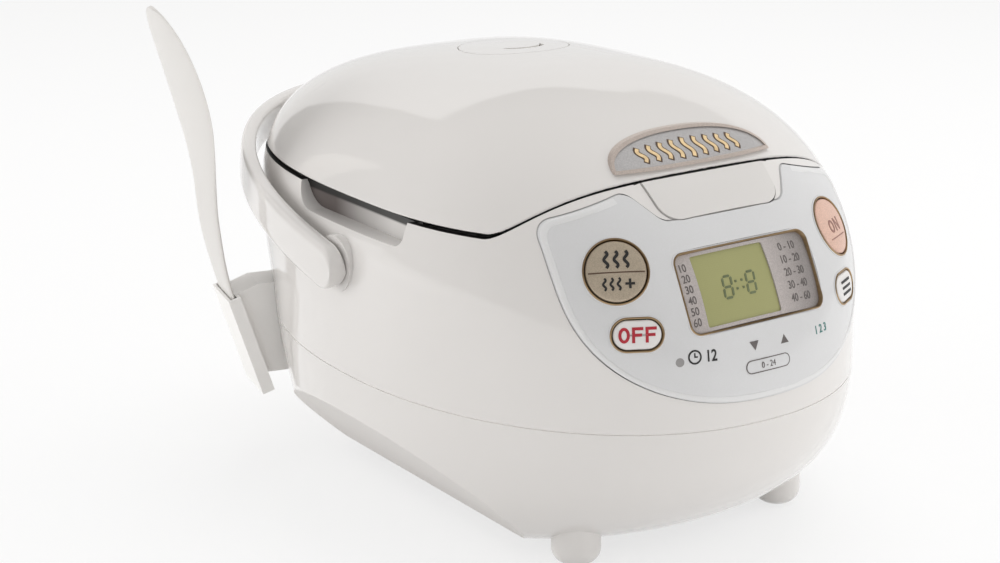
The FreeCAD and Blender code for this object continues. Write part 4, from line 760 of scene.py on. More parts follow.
@dataclass(frozen=True)
class Seat:
    """Place on the front surface with its own flat axes: u to the right, v up the surface."""

    x: float
    level: float
    form: EggForm = EGG
    sink: float = 0.0
    rounds: int = 6
    probe: float = 0.1

    def axes(self) -> tuple[Vector, Vector, Vector, Vector]:
        """Give the seat's point and its u, v and outward directions.

        Returns:
            Point, u, v and out.
        """
        out = EGG.normal(self.x, self.level)
        east = Vector((-out.y, out.x, 0.0)).normalized()
        return Vector((self.x, EGG.depth(self.x, self.level), self.level)), east, out.cross(east), out

    def off_surface(self, point: Vector) -> float:
        """Distance along y from the surface to a point."""
        return point.y - self.form.depth(point.x, point.z)

    def spots(self, flats: list[Place]) -> list[Vector]:
        """Carry flat places onto the surface, straight along the seat's outward direction.

        Args:
            flats: Places as u, v and lift above the surface.

        Returns:
            The points, in millimetres.
        """
        base, east, north, out = self.axes()
        points = []
        for u, v, lift in flats:
            here = start = base + east * u + north * v
            run = 0.0
            for _ in range(self.rounds):
                miss = self.off_surface(here)
                slope = (self.off_surface(here + out * self.probe) - miss) / self.probe
                run -= miss / slope
                here = start + out * run
            points.append(here + self.form.normal(here.x, here.z) * lift - out * self.sink)
        return points


# Mesh making


def add_piece(
    name: str, points: list[Vector], faces: list[Loop], finish: Finish, body: Body, slot: Slot,
    stands_for: tuple[str, ...] = (), sharp: float = 40.0,
) -> None:
    """Make a piece of the object from points in millimetres.

    Args:
        name: Name of the piece.
        points: Its vertices.
        faces: Its faces.
        finish: Its finish.
        body: Body that it rides on.
        slot: Material slot of the record; not used.
        stands_for: Solids that it is shown in place of.
        sharp: Angle in degrees above which an edge stays sharp.
    """
    mesh = bpy.data.meshes.new(name)
    mesh.from_pydata([point * MM for point in points], [], faces)
    work = bmesh.new()
    work.from_mesh(mesh)
    bmesh.ops.remove_doubles(work, verts=work.verts, dist=WELD_DISTANCE)
    bmesh.ops.recalc_face_normals(work, faces=work.faces)
    work.to_mesh(mesh)
    work.free()
    mesh.shade_smooth()
    mesh.set_sharp_from_angle(angle=math.radians(sharp))
    item = bpy.data.objects.new(name, mesh)
    bpy.context.scene.collection.objects.link(item)
    item.data.materials.append(finish.material())
    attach(item, body.value)
    if stands_for:
        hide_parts(*stands_for)
    log.info("piece %s: %d faces on %s", name, len(mesh.polygons), body.value)


def shifted(faces: list[Loop], start: int) -> list[Loop]:
    """Faces whose points are counted from a start."""
    return [tuple(index + start for index in face) for face in faces]


def skin_rings(rings: list[list[Vector]], capped: bool = True) -> Skin:
    """Join closed rings of equal length into one skin.

    Args:
        rings: Rings of points, in order.
        capped: Close the first and last ring with a face, or else join the last ring to the first.

    Returns:
        Points and faces.
    """
    count = len(rings[0])
    points = [point for ring in rings for point in ring]
    faces = []
    spans = len(rings) - 1 if capped else len(rings)
    for row in range(spans):
        low, high = row * count, (row + 1) % len(rings) * count
        for index in range(count):
            after = (index + 1) % count
            faces.append((low + index, low + after, high + after, high + index))
    if capped:
        faces.append(tuple(reversed(range(count))))
        faces.append(tuple(range((len(rings) - 1) * count, len(rings) * count)))
    return points, faces


@dataclass(frozen=True)
class Stadium:
    """Flat outline of a disc, or of a bar with round ends."""

    radius: float
    half_length: float = 0.0
    steps: int = 72

    def ring(self, margin: float, lift: float) -> list[Place]:
        """Give the outline moved out by a margin, at a lift.

        Args:
            margin: Distance outward, or inward if negative.
            lift: Height above the surface.

        Returns:
            Places as u, v and lift.
        """
        radius = max(0.0, self.radius + margin)
        places = []
        for index in range(self.steps):
            angle = math.tau * (index + 0.5) / self.steps
            shift = math.copysign(self.half_length, math.cos(angle))
            places.append((shift + radius * math.cos(angle), radius * math.sin(angle), lift))
        return places


@dataclass(frozen=True)
class RoundedBox:
    """Flat outline of a rectangle with round corners."""

    half_width: float
    half_height: float
    corner: float
    least_corner: float = 0.05
    steps: int = 10

    def ring(self, margin: float, lift: float) -> list[Place]:
        """Give the outline moved out by a margin, at a lift.

        Args:
            margin: Distance outward, or inward if negative.
            lift: Height above the surface.

        Returns:
            Places as u, v and lift.
        """
        radius = max(self.least_corner, self.corner + margin)
        places = []
        for quarter, (east, north) in enumerate(((1, 1), (-1, 1), (-1, -1), (1, -1))):
            u, v = east * (self.half_width - self.corner), north * (self.half_height - self.corner)
            for index in range(self.steps + 1):
                angle = math.pi / 2 * (quarter + index / self.steps)
                places.append((u + radius * math.cos(angle), v + radius * math.sin(angle), lift))
        return places


Outline = Stadium | RoundedBox

# Sections of rims, their beds and a key cap: distance out from the outline, and height above the body
RIM_SECTION: Section = (
    (0.4, -1.6), (0.4, 0.9), (0.52, 1.2), (0.8, 1.34), (1.1, 1.22), (1.25, 0.95), (1.25, -1.6),
)
BED_SECTION: Section = ((1.25, -1.6), (1.25, 0.95), (1.45, 0.98), (1.68, 0.9), (1.8, 0.7), (1.8, -1.6))
FRAME_SECTION: Section = (
    (-1.6, -1.6), (-1.6, 0.6), (-1.45, 0.98), (-1.1, 1.15), (-0.8, 1.0), (-0.7, 0.85), (-0.7, -1.6),
)
FRAME_BED_SECTION: Section = (
    (-0.7, -1.6), (-0.7, 0.85), (-0.4, 0.92), (-0.12, 0.8), (0.0, 0.55), (0.0, -1.6),
)
CAP_SECTION: Section = (
    (0.0, -1.6), (0.0, 0.35), (-0.12, 0.72), (-0.4, 0.98), (-0.9, 1.14), (-1.8, 1.24), (-3.4, 1.34),
    (-5.2, 1.4), (-7.5, 1.45), (-10.0, 1.48), (-13.0, 1.5),
)

# Section of the panel's lip: distance in from the panel's edge, and height above the panel
LIP_SECTION: Section = (
    (0.05, -0.4), (0.05, 0.08), (0.35, 0.3), (0.9, 0.38), (1.5, 0.28), (2.1, 0.06), (2.2, -0.4),
)


def swept(seat: Seat, outline: Outline, section: Section, capped: bool) -> Skin:
    """Skin of a section swept round an outline on a seat, with both ends capped or else joined."""
    return skin_rings([seat.spots(outline.ring(margin, lift)) for margin, lift in section], capped)


# Printed marks


@dataclass
class Mark:
    """A flat printed mark, made of points and faces in its own plane."""

    points: list[Flat] = field(default_factory=list)
    faces: list[Loop] = field(default_factory=list)
    film: float = 0.13
    root: float = 0.25

    def add(self, other: "Mark", u: float = 0.0, v: float = 0.0) -> "Mark":
        """Add another mark at a shift.

        Args:
            other: Mark to add.
            u: Shift to the right.
            v: Shift up.

        Returns:
            This mark.
        """
        self.faces += shifted(other.faces, len(self.points))
        self.points += [(a + u, b + v) for a, b in other.points]
        return self

    def rim(self) -> list[tuple[int, int]]:
        """Find the edges that only one face has.

        Returns:
            Start and end of each edge.
        """
        edges: dict[tuple[int, int], tuple[int, int]] = {}
        for face in self.faces:
            for start, end in zip(face, face[1:] + face[:1]):
                key = (min(start, end), max(start, end))
                if key in edges:
                    del edges[key]
                else:
                    edges[key] = (start, end)
        return list(edges.values())

    def print_on(
        self, name: str, seat: Seat, lift: float, finish: Finish, body: Body, slot: Slot,
    ) -> None:
        """Lay the mark on a surface as a thin film.

        Args:
            name: Name of the piece.
            seat: Where the mark's own middle lies.
            lift: Height of the surface above the body.
            finish: Ink.
            body: Body that it rides on.
            slot: Material slot of the record.
        """
        count = len(self.points)
        points = seat.spots([(u, v, lift + self.film) for u, v in self.points])
        points += seat.spots([(u, v, lift - self.root) for u, v in self.points])
        faces = self.faces + shifted([face[::-1] for face in self.faces], count)
        faces += [(end, start, start + count, end + count) for start, end in self.rim()]
        add_piece(name, points, faces, finish, body, slot)


def shape(points: list[Flat]) -> Mark:
    """Mark of one filled outline."""
    return Mark(list(points), [tuple(range(len(points)))])


def stroke(points: list[Flat], width: float, closed: bool = False) -> Mark:
    """Draw a line of even width through points.

    Args:
        points: Places along the line.
        width: Width of the line.
        closed: Join the end to the start.

    Returns:
        The mark.
    """
    count = len(points)
    sides: list[Flat] = []
    for index, (u, v) in enumerate(points):
        before = points[index - 1] if index or closed else points[0]
        after = points[(index + 1) % count] if index + 1 < count or closed else points[-1]
        run = Vector((after[0] - before[0], after[1] - before[1])).normalized() * (width / 2)
        sides += [(u - run.y, v + run.x), (u + run.y, v - run.x)]
    faces = []
    for index in range(count if closed else count - 1):
        here, there = 2 * index, 2 * ((index + 1) % count)
        faces.append((here, here + 1, there + 1, there))
    return Mark(sides, faces)


def level_line(half_length: float, width: float, steps: int) -> Mark:
    """Level line about its own middle, in steps short enough to follow the surface."""
    return stroke([(half_length * (2 * index / steps - 1), 0.0) for index in range(steps + 1)], width)


def letters(text: str, height: float, narrow: float = 0.8, weight: float = 0.0) -> Mark:
    """Set plain numbers about their own middle.

    Args:
        text: Numbers, spaces and bars.
        height: Height of a number.
        narrow: Width as a share of the plain number's.
        weight: Boldness, as a share of the height.

    Returns:
        The mark.
    """
    curve = bpy.data.curves.new("lettering", "FONT")
    curve.body = text
    curve.size = 1.0
    curve.offset = weight
    curve.resolution_u = 4
    item = bpy.data.objects.new("lettering", curve)
    bpy.context.scene.collection.objects.link(item)
    bpy.context.view_layer.update()
    mesh = item.evaluated_get(bpy.context.evaluated_depsgraph_get()).to_mesh()
    corners = [vertex.co.copy() for vertex in mesh.vertices]
    faces = [tuple(polygon.vertices) for polygon in mesh.polygons]
    bpy.data.objects.remove(item)
    bpy.data.curves.remove(curve)
    low = Vector((min(c.x for c in corners), min(c.y for c in corners)))
    high = Vector((max(c.x for c in corners), max(c.y for c in corners)))
    middle, scale = (low + high) / 2, height / (high.y - low.y)
    return Mark([((c.x - middle.x) * scale * narrow, (c.y - middle.y) * scale) for c in corners], faces)


def capitals(text: str, height: float, width: float, line: float, gap: float) -> Mark:
    """Draw plain block capitals for ON and OFF, about their own middle.

    Args:
        text: Word of the letters O, N and F.
        height: Height of a letter.
        width: Width of a letter.
        line: Width of its strokes.
        gap: Space between letters.

    Returns:
        The mark.
    """
    steps = 36
    short_bar = 0.75
    east, north = (width - line) / 2, (height - line) / 2
    high, wide = height / 2, width / 2
    turns = [math.tau * index / steps for index in range(steps)]
    oval = [(east * math.cos(turn), north * math.sin(turn)) for turn in turns]
    left, right = [(-east, -high), (-east, high)], [(east, -high), (east, high)]
    strokes = {
        "O": [oval],
        "N": [left, right, [(-east, high - line / 2), (east, line / 2 - high)]],
        "F": [left, [(-east, north), (wide, north)], [(-east, 0.0), (short_bar * wide, 0.0)]],
    }
    mark = Mark()
    pitch = width + gap
    for place, letter in enumerate(text):
        for points in strokes[letter]:
            mark.add(stroke(points, line, points is oval), pitch * (place - (len(text) - 1) / 2))
    return mark


def wave(length: float, swing: float, width: float, turns: float = 1.5) -> Mark:
    """Draw an upright wavy line, the usual sign for heat or steam.

    Args:
        length: Height of the line.
        swing: Reach of the wave to each side.
        width: Width of the line.
        turns: Number of whole waves.

    Returns:
        The mark.
    """
    steps = 26
    shares = [index / steps for index in range(steps + 1)]
    return stroke([(swing * math.sin(math.tau * turns * s), length * (s - 0.5)) for s in shares], width)


def ring_line(outline: Outline, width: float, step: float = 1.2) -> Mark:
    """Draw a thin line along an outline, with points close enough to follow the surface.

    Args:
        outline: The outline.
        width: Width of the line.
        step: Longest distance between points.

    Returns:
        The mark.
    """
    corners = [Vector(place[:2]) for place in outline.ring(0.0, 0.0)]
    places: list[Flat] = []
    for start, end in zip(corners, corners[1:] + corners[:1]):
        count = max(1, math.ceil((end - start).length / step))
        places += [tuple(start.lerp(end, index / count)) for index in range(count)]
    return stroke(places, width, closed=True)


class Segment(Enum):
    """Bars of a seven-bar digit: middle in shares of its half width and half height, and if it lies level."""

    TOP = (0.0, 1.0, True)
    MIDDLE = (0.0, 0.0, True)
    BOTTOM = (0.0, -1.0, True)
    UPPER_LEFT = (-1.0, 0.5, False)
    UPPER_RIGHT = (1.0, 0.5, False)
    LOWER_LEFT = (-1.0, -0.5, False)
    LOWER_RIGHT = (1.0, -0.5, False)


def digit(half_width: float, half_height: float, bar: float, lean: float = 0.12) -> Mark:
    """Draw all seven bars of a display digit.

    Args:
        half_width: Half width between the upright bars.
        half_height: Half height between the level bars.
        bar: Width of a bar.
        lean: Slope of the digit.

    Returns:
        The mark.
    """
    gap = 0.35 * bar
    half = bar / 2
    mark = Mark()
    for segment in Segment:
        east, north, level = segment.value
        reach = (half_width if level else half_height / 2) - gap
        tip = reach - half
        corners = [(-reach, 0.0), (-tip, -half), (tip, -half), (reach, 0.0), (tip, half), (-tip, half)]
        if not level:
            corners = [(-v, u) for u, v in corners]
        places = [(u + east * half_width, v + north * half_height) for u, v in corners]
        mark.add(shape([(u + lean * v, v) for u, v in places]))
    return mark


# Sub-assemblies


@dataclass
class Casing:
    """All solids that keep their own shape and get a finish."""

    finishes: dict[Finish, tuple[str, ...]] = field(default_factory=lambda: {
        GLOSS_WHITE: (
            "body_shell", "base_cover", "lid_cover", "front_feet", "rear_feet", "steam_vent_cap",
        ),
        PALE_WHITE: ("spatula_holder",),
        BUTTON_WHITE: ("open_button",),
        PEARL: ("control_panel",),
        MASK_MAUVE: ("display_mask",),
        LCD_GREEN: ("display_glass",),
        LAMP_GREY: ("timer_lamp",),
        BADGE_SILVER: ("badge_plate",),
        RIM_ROSE: ("badge_rim",),
        DECK_GREY: ("top_deck", "lid_liner"),
        STEEL: (
            "hinge_pin", "latch_pin", "plate_posts", "base_screws", "lid_screws", "lid_hinge_arms",
            "hinge_spring", "sensor_spring", "lid_strike", "handle_pins", "inner_lid",
        ),
        ALUMINIUM: ("heating_plate", "chamber_liner", "lid_heater", "side_heater", "sensor_plunger"),
        PAN_COAT: ("inner_pot",),
        SILICONE: ("lid_gasket", "steam_tube"),
        OUTLET_GREY: ("cord_outlet",),
        BOARD_GREEN: ("control_board", "power_board"),
        MOULDED_BLACK: (
            "push_switches", "power_components", "thermal_fuse", "sensor_housing", "latch_lever",
            "inner_lid_knob",
        ),
    })

    grip_back: float = 105.5
    grip_back_match: float = 0.5
    grip_floor: float = 139.5
    grip_front: float = -37.0
    grip_rear: float = 55.0
    lid_line: float = 151.2
    lid_rise: float = 21.7
    rise_start: float = -76.6
    rise_run: float = 30.6
    lid_gap: float = 1.6
    lid_gap_match: float = 0.3
    bevel_angle: float = 45.3
    bevel_match: float = 0.02
    groove_low: float = 72.75
    groove_high: float = 73.35
    vent_offset: float = 38.0
    vent_well: float = 27.3
    steepness: float = 0.5
    edge_round: float = 0.7
    round_steps: int = 3
    round_angle: float = 50.0

    def dress(self) -> None:
        """Give each kept solid its finish, and some of its faces another one."""
        for finish, names in self.finishes.items():
            for name in names:
                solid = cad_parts[name]
                solid.data.materials.clear()
                solid.data.materials.append(finish.material())
                log.info("solid %s: %s", name, finish.name)
        # Painted shade on the back walls of the side grips
        self.repaint("body_shell", GRIP_PAINTED_SHADE, self.in_grip)
        # Painted shadow in the lid's joint: the rims that face the joint are painted black
        self.repaint("body_shell", JOINT_PAINTED_SHADOW, lambda face: self.in_joint(face, 1))
        self.repaint("lid_cover", JOINT_PAINTED_SHADOW, lambda face: self.in_joint(face, -1))
        # Painted light on the walls of the vent's gap and slot and of the base's groove, to lift their shade
        self.repaint("lid_cover", GROOVE_PAINTED_LIGHT, self.in_vent)
        self.repaint("steam_vent_cap", GROOVE_PAINTED_LIGHT, self.in_vent)
        self.repaint("base_cover", GROOVE_PAINTED_LIGHT, self.in_groove)
        self.repaint("base_cover", BASE_MATTE, self.on_bevel)
        self.soften("spatula_holder")

    def repaint(self, name: str, finish: Finish, chosen: Callable[[Face], bool]) -> None:
        """Give some faces of a solid another finish.

        Args:
            name: The solid.
            finish: The other finish.
            chosen: Test that tells whether a face gets it.
        """
        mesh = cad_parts[name].data
        mesh.materials.append(finish.material())
        for face in mesh.polygons:
            if chosen(face):
                face.material_index = len(mesh.materials) - 1

    def in_grip(self, face: Face) -> bool:
        """Tell whether a face of the body is a back wall of a side grip.

        Args:
            face: The face.

        Returns:
            True for the back walls.
        """
        x, y, level = face.center / MM
        inside = self.grip_front < y < self.grip_rear and level > self.grip_floor
        return inside and abs(abs(x) - self.grip_back) < self.grip_back_match

    def lid_level(self, y: float) -> float:
        """Height of the middle of the lid's joint, at a place along the side view."""
        return self.lid_line + self.lid_rise * eased((self.rise_start - y) / self.rise_run)

    def in_joint(self, face: Face, side: int) -> bool:
        """Tell whether a face is on a rim that faces the lid's joint.

        Args:
            face: The face.
            side: 1 for a rim that faces up, and -1 for one that faces down.

        Returns:
            True for the rim's faces.
        """
        _, y, level = face.center / MM
        off = level - self.lid_level(y) + side * self.lid_gap / 2
        return side * face.normal.z > self.steepness and abs(off) < self.lid_gap_match

    def in_vent(self, face: Face) -> bool:
        """Tell whether a face is a wall of the vent's gap or slot."""
        x, y, _ = face.center / MM
        return face.normal.z < self.steepness and math.hypot(x, y - self.vent_offset) < self.vent_well

    def in_groove(self, face: Face) -> bool:
        """Tell whether a face of the base is in the groove round it."""
        return self.groove_low < face.center.z / MM < self.groove_high

    def on_bevel(self, face: Face) -> bool:
        """Tell whether a face of the base is on one of its two flat bevels."""
        fall = -math.cos(math.radians(self.bevel_angle))
        return abs(face.normal.y) < self.bevel_match and abs(face.normal.z - fall) < self.bevel_match

    def soften(self, name: str) -> None:
        """Round the sharp edges of a kept solid.

        Args:
            name: The solid.
        """
        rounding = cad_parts[name].modifiers.new("rounding", "BEVEL")
        rounding.width = self.edge_round * MM
        rounding.segments = self.round_steps
        rounding.limit_method = "ANGLE"
        rounding.angle_limit = math.radians(self.round_angle)


@dataclass(frozen=True)
class Key:
    """One key of the panel."""

    name: str
    seat: Seat
    outline: Stadium
    finish: Finish
    body: Body
    slot: Slot

    def add_cap(self) -> None:
        """Make the key's domed cap."""
        skin = swept(self.seat, self.outline, CAP_SECTION, capped=True)
        add_piece(f"{self.name}_cap", *skin, self.finish, self.body, self.slot, (self.name,))

    def add_print(self, name: str, mark: Mark, lift: float, ink: Finish) -> None:
        """Print a mark on the key, at the height of its cap there."""
        mark.print_on(name, self.seat, lift, ink, self.body, self.slot)


@dataclass(frozen=True)
class NumberColumn:
    """Column of numbers printed beside the display."""

    texts: tuple[str, ...]
    height: float
    narrow: float
    u: float
    top: float
    pitch: float
    weight: float = 0.01

    def add_to(self, mark: Mark) -> None:
        """Add the column to a mark.

        Args:
            mark: The mark.
        """
        for row, text in enumerate(self.texts):
            number = letters(text, self.height, self.narrow, self.weight)
            mark.add(number, self.u, self.top - self.pitch * row)


@dataclass
class ControlPanel:
    """Keys, rims, display frame, lip and printed marks of the control panel."""

    round_side: float = 60.8
    round_level: float = 140.7
    round_radius: float = 12.9
    long_side: float = 58.6
    long_level: float = 116.0
    long_half_width: float = 10.2
    long_half_height: float = 6.1
    display_level: float = 131.0
    display_half_width: float = 38.0
    display_half_height: float = 18.5
    display_corner: float = 6.0
    glass_shift: float = 8.5
    glass_recess: float = 1.4
    mask_recess: float = 0.7
    cap_proud: float = 1.46
    split_fall: float = 0.08
    line_fall: float = 0.04
    bar_fall: float = 0.1
    half_width: float = 83.0
    waist: float = 144.0
    drop: float = 60.5
    power: float = 2.6
    shoulder: Flat = (82.5, 158.4)
    shoulder_round: float = 9.0
    shoulder_steps: int = 12
    peak: Flat = (44.0, 168.2)
    peak_round: float = 6.0
    edge_steps: int = 60
    lip_foot_run: float = 14.0
    lip_foot_drop: float = 0.7
    lip_foot_inset: float = 0.55
    lip_end_steps: int = 6
    lip_sharp: float = 60.0
    steam_pitch: float = 4.2
    steam_rise: float = 4.8
    extra_pitch: float = 3.0
    extra_shift: float = -2.4
    extra_rise: float = -5.4
    plus_shift: float = 5.2
    plus_arm: float = 2.0
    menu_pitch: float = 2.6
    digit_shifts: Flat = (-5.0, 7.6)
    dot_shifts: Flat = (-0.3, 3.0)
    dot_rises: Flat = (-2.0, 1.2)
    columns: tuple[NumberColumn, ...] = (
        NumberColumn(
            ("10", "20", "30", "40", "50", "60"), height=3.5, narrow=0.8, u=-32.8, top=11.4, pitch=4.7,
        ),
        NumberColumn(
            ("0 - 10", "10 - 20", "20 - 30", "30 - 40", "40 - 60"), height=3.6, narrow=0.85, u=24.5, top=11.6,
            pitch=5.7,
        ),
    )
    arrow_half_width: float = 2.3
    arrow_half_height: float = 1.9
    clock_radius: float = 2.7
    hour_hand: float = 1.3
    minute_hand: float = 1.7
    hand_tail: float = 0.2

    def build(self) -> None:
        """Make the keys, the rims, the display frame and the panel's lip."""
        keys = self.keys()
        for key in keys:
            key.add_cap()
        rims = [(key.seat, key.outline) for key in keys]
        self.add_rims("key_rim", rims, RIM_SECTION, BED_SECTION, "key_rims")
        edge = RoundedBox(self.display_half_width, self.display_half_height, self.display_corner)
        display = [(Seat(0.0, self.display_level), edge)]
        self.add_rims("display_frame", display, FRAME_SECTION, FRAME_BED_SECTION, "display_frame")
        self.add_lip()

    def dress(self) -> None:
        """Print the marks."""
        self.print_steam()
        self.print_keys()
        self.print_display()
        self.print_panel()

    def keys(self) -> tuple[Key, Key, Key, Key]:
        """Lay out the four keys.

        Returns:
            The keep-warm, cook, reset and menu keys.
        """
        disc = Stadium(self.round_radius)
        bar = Stadium(self.long_half_height, self.long_half_width - self.long_half_height)
        left, right = (Seat(side * self.round_side, self.round_level) for side in (-1, 1))
        low_left, low_right = (Seat(side * self.long_side, self.long_level) for side in (-1, 1))
        return (
            Key("keep_warm_key", left, disc, GOLD_BEIGE, Body.KEEP_WARM, Slot.GOLD_KEY),
            Key("cook_key", right, disc, SALMON, Body.COOK, Slot.SALMON),
            Key("reset_key", low_left, bar, KEY_WHITE, Body.RESET, Slot.WHITE_KEY),
            Key("menu_key", low_right, bar, KEY_WHITE, Body.MENU, Slot.WHITE_KEY),
        )

    def add_rims(
        self, name: str, seats: list[tuple[Seat, Outline]], rim: Section, bed: Section, solid: str,
    ) -> None:
        """Make thin gold rims, and the pearl beds that they lie in.

        Args:
            name: Start of the pieces' names.
            seats: Where each rim lies, with its outline.
            rim: Section of the gold rim.
            bed: Section of the bed outside it.
            solid: Solid that both are shown in place of.
        """
        ring, border = ("ring", rim, RIM_GOLD, Slot.GOLD), ("bed", bed, PEARL, Slot.PANEL)
        for part, section, finish, slot in (ring, border):
            points: list[Vector] = []
            faces: list[Loop] = []
            for seat, outline in seats:
                spots, loops = swept(seat, outline, section, capped=False)
                faces += shifted(loops, len(points))
                points += spots
            add_piece(f"{name}_{part}", points, faces, finish, Body.COOKER, slot, (solid,))

    def half_edge(self) -> list[Flat]:
        """Follow the right half of the panel's edge in the front view.

        Returns:
            Places from beside the open button down to the foot.
        """
        start, corner, waist = Vector(self.peak), Vector(self.shoulder), Vector((self.half_width, self.waist))
        back, down = (start - corner).normalized(), (waist - corner).normalized()
        half_angle = back.angle(down) / 2
        middle = corner + (back + down).normalized() * (self.shoulder_round / math.sin(half_angle))
        run = self.shoulder_round / math.tan(half_angle)
        top = start - back * self.peak_round
        first, last = corner + back * run, corner + down * run
        steps = self.shoulder_steps
        places = [tuple(top.lerp(first, index / steps)) for index in range(steps)]
        for index in range(steps + 1):
            spoke = (first - middle).slerp(last - middle, index / steps)
            places.append(tuple(middle + spoke.normalized() * self.shoulder_round))
        for index in range(self.edge_steps + 1):
            angle = math.pi / 2 * index / self.edge_steps
            east, south = max(0.0, math.cos(angle)), math.sin(angle)
            level = self.waist - self.drop * south ** (2 / self.power)
            places.append((self.half_width * east ** (2 / self.power), level))
        return places

    def add_lip(self) -> None:
        """Lay a low lip along the panel's edge, a real raised bead painted paler than the panel as a
        highlight, lower at the foot, where the panel is furthest out.
        """
        right = self.half_edge()
        path = right + [(-x, level) for x, level in reversed(right[:-1])]
        count = len(path)
        rings = []
        for index, (x, level) in enumerate(path):
            before, after = path[max(0, index - 1)], path[min(count - 1, index + 1)]
            run = Vector((after[0] - before[0], after[1] - before[1])).normalized()
            from_end = min(index, count - 1 - index) + 0.5
            foot = 1.0 - min(1.0, (level - self.waist + self.drop) / self.lip_foot_run)
            fade = min(1.0, from_end / self.lip_end_steps) * (1.0 - self.lip_foot_drop * foot)
            ring = []
            for inset, lift in LIP_SECTION:
                inset += self.lip_foot_inset * foot
                east, rise = x + run.y * inset, level - run.x * inset
                spot = Vector((east, PANEL_FORM.depth(east, rise), rise))
                ring.append(spot + PANEL_FORM.normal(east, rise) * (lift * fade if lift > 0 else lift))
            rings.append(ring)
        skin = skin_rings(rings)
        add_piece("panel_lip", *skin, PEARL_LIP_HIGHLIGHT, Body.COOKER, Slot.PANEL, sharp=self.lip_sharp)

    def print_steam(self) -> None:
        """Print the waves and the plus sign on the keep-warm key, and the line between them."""
        warm = self.keys()[0]
        steam = Mark()
        for place in (-1, 0, 1):
            large = wave(length=7.0, swing=0.75, width=1.25)
            steam.add(large, self.steam_pitch * place, self.steam_rise)
        for place in (-1, 0, 1):
            small = wave(length=5.0, swing=0.55, width=0.9)
            steam.add(small, self.extra_pitch * place + self.extra_shift, self.extra_rise)
        arm = self.plus_arm
        for ends in ([(-arm, 0.0), (arm, 0.0)], [(0.0, -arm), (0.0, arm)]):
            steam.add(stroke(ends, width=1.0), self.plus_shift, self.extra_rise)
        warm.add_print("keep_warm_signs", steam, self.cap_proud, INK_BLACK)
        split = Mark().add(level_line(half_length=11.8, width=0.55, steps=10), v=-0.6)
        warm.add_print("keep_warm_split", split, self.cap_proud - self.split_fall, INK_BROWN)

    def print_keys(self) -> None:
        """Print the signs on the cook, reset and menu keys."""
        _, cook, reset, menu = self.keys()
        start = capitals("ON", height=6.0, width=4.6, line=1.05, gap=1.1)
        cook.add_print("cook_sign", start, self.cap_proud, INK_ROSE)
        line = Mark().add(level_line(half_length=7.5, width=0.45, steps=10), v=-5.2)
        cook.add_print("cook_line", line, self.cap_proud - self.line_fall, INK_ROSE)
        stop = capitals("OFF", height=6.4, width=4.7, line=1.25, gap=0.9)
        reset.add_print("reset_sign", stop, self.cap_proud - self.bar_fall, INK_RED)
        bars = Mark()
        for place in (-1, 0, 1):
            bars.add(level_line(half_length=5.0, width=1.15, steps=4), v=self.menu_pitch * place)
        menu.add_print("menu_sign", bars, self.cap_proud - self.bar_fall, INK_BLACK)

    def print_display(self) -> None:
        """Print the display's ghost digits and the numbers beside it."""
        glass = Seat(0.0, self.display_level, EGG, self.glass_recess)
        mask = Seat(0.0, self.display_level, EGG, self.mask_recess)
        ghost = Mark()
        for u in self.digit_shifts:
            ghost.add(digit(half_width=2.2, half_height=4.6, bar=1.05), u - self.glass_shift, v=-0.5)
        for u in self.dot_shifts:
            for v in self.dot_rises:
                ghost.add(level_line(half_length=0.5, width=1.0, steps=1), u - self.glass_shift, v)
        ghost.print_on("display_digits", glass, 0.0, INK_LCD, Body.COOKER, Slot.DISPLAY)
        numbers = Mark()
        for column in self.columns:
            column.add_to(numbers)
        numbers.print_on("display_numbers", mask, 0.0, INK_GREY, Body.COOKER, Slot.MASK)

    def print_panel(self) -> None:
        """Print the triangles, the timer's signs and the other marks of the panel."""
        half, high = self.arrow_half_width, self.arrow_half_height
        arrows = Mark().add(shape([(-half, high), (0.0, -high), (half, high)]), u=-8.3, v=4.1)
        arrows.add(shape([(-half, -high), (half, -high), (0.0, high)]), u=8.3, v=4.1)
        pill = ring_line(Stadium(radius=2.7, half_length=9.2), width=0.4)
        pill.add(letters("0 - 24", height=2.7, narrow=0.85))
        clock = ring_line(Stadium(self.clock_radius, steps=40), width=0.75)
        clock.add(stroke([(0.0, -self.hand_tail), (0.0, self.minute_hand)], width=0.6))
        clock.add(stroke([(-self.hand_tail, 0.0), (self.hour_hand, 0.0)], width=0.6))
        clock.add(letters("12", height=5.0, narrow=0.8, weight=0.02), u=8.0)
        rinses = letters("1 2 3", height=3.8, narrow=0.85, weight=0.015)
        marks = (
            ("timer_arrows", arrows, Seat(x=0.0, level=102.0, form=PANEL_FORM), INK_GREY),
            ("timer_range", pill, Seat(x=-2.0, level=97.4, form=PANEL_FORM), INK_GREY),
            ("timer_sign", clock, Seat(x=-37.2, level=105.3, form=PANEL_FORM), INK_BLACK),
            ("rinse_numbers", rinses, Seat(x=32.6, level=105.0, form=PANEL_FORM), INK_TEAL),
        )
        for name, mark, seat, ink in marks:
            mark.print_on(name, seat, 0.0, ink, Body.COOKER, Slot.PANEL)


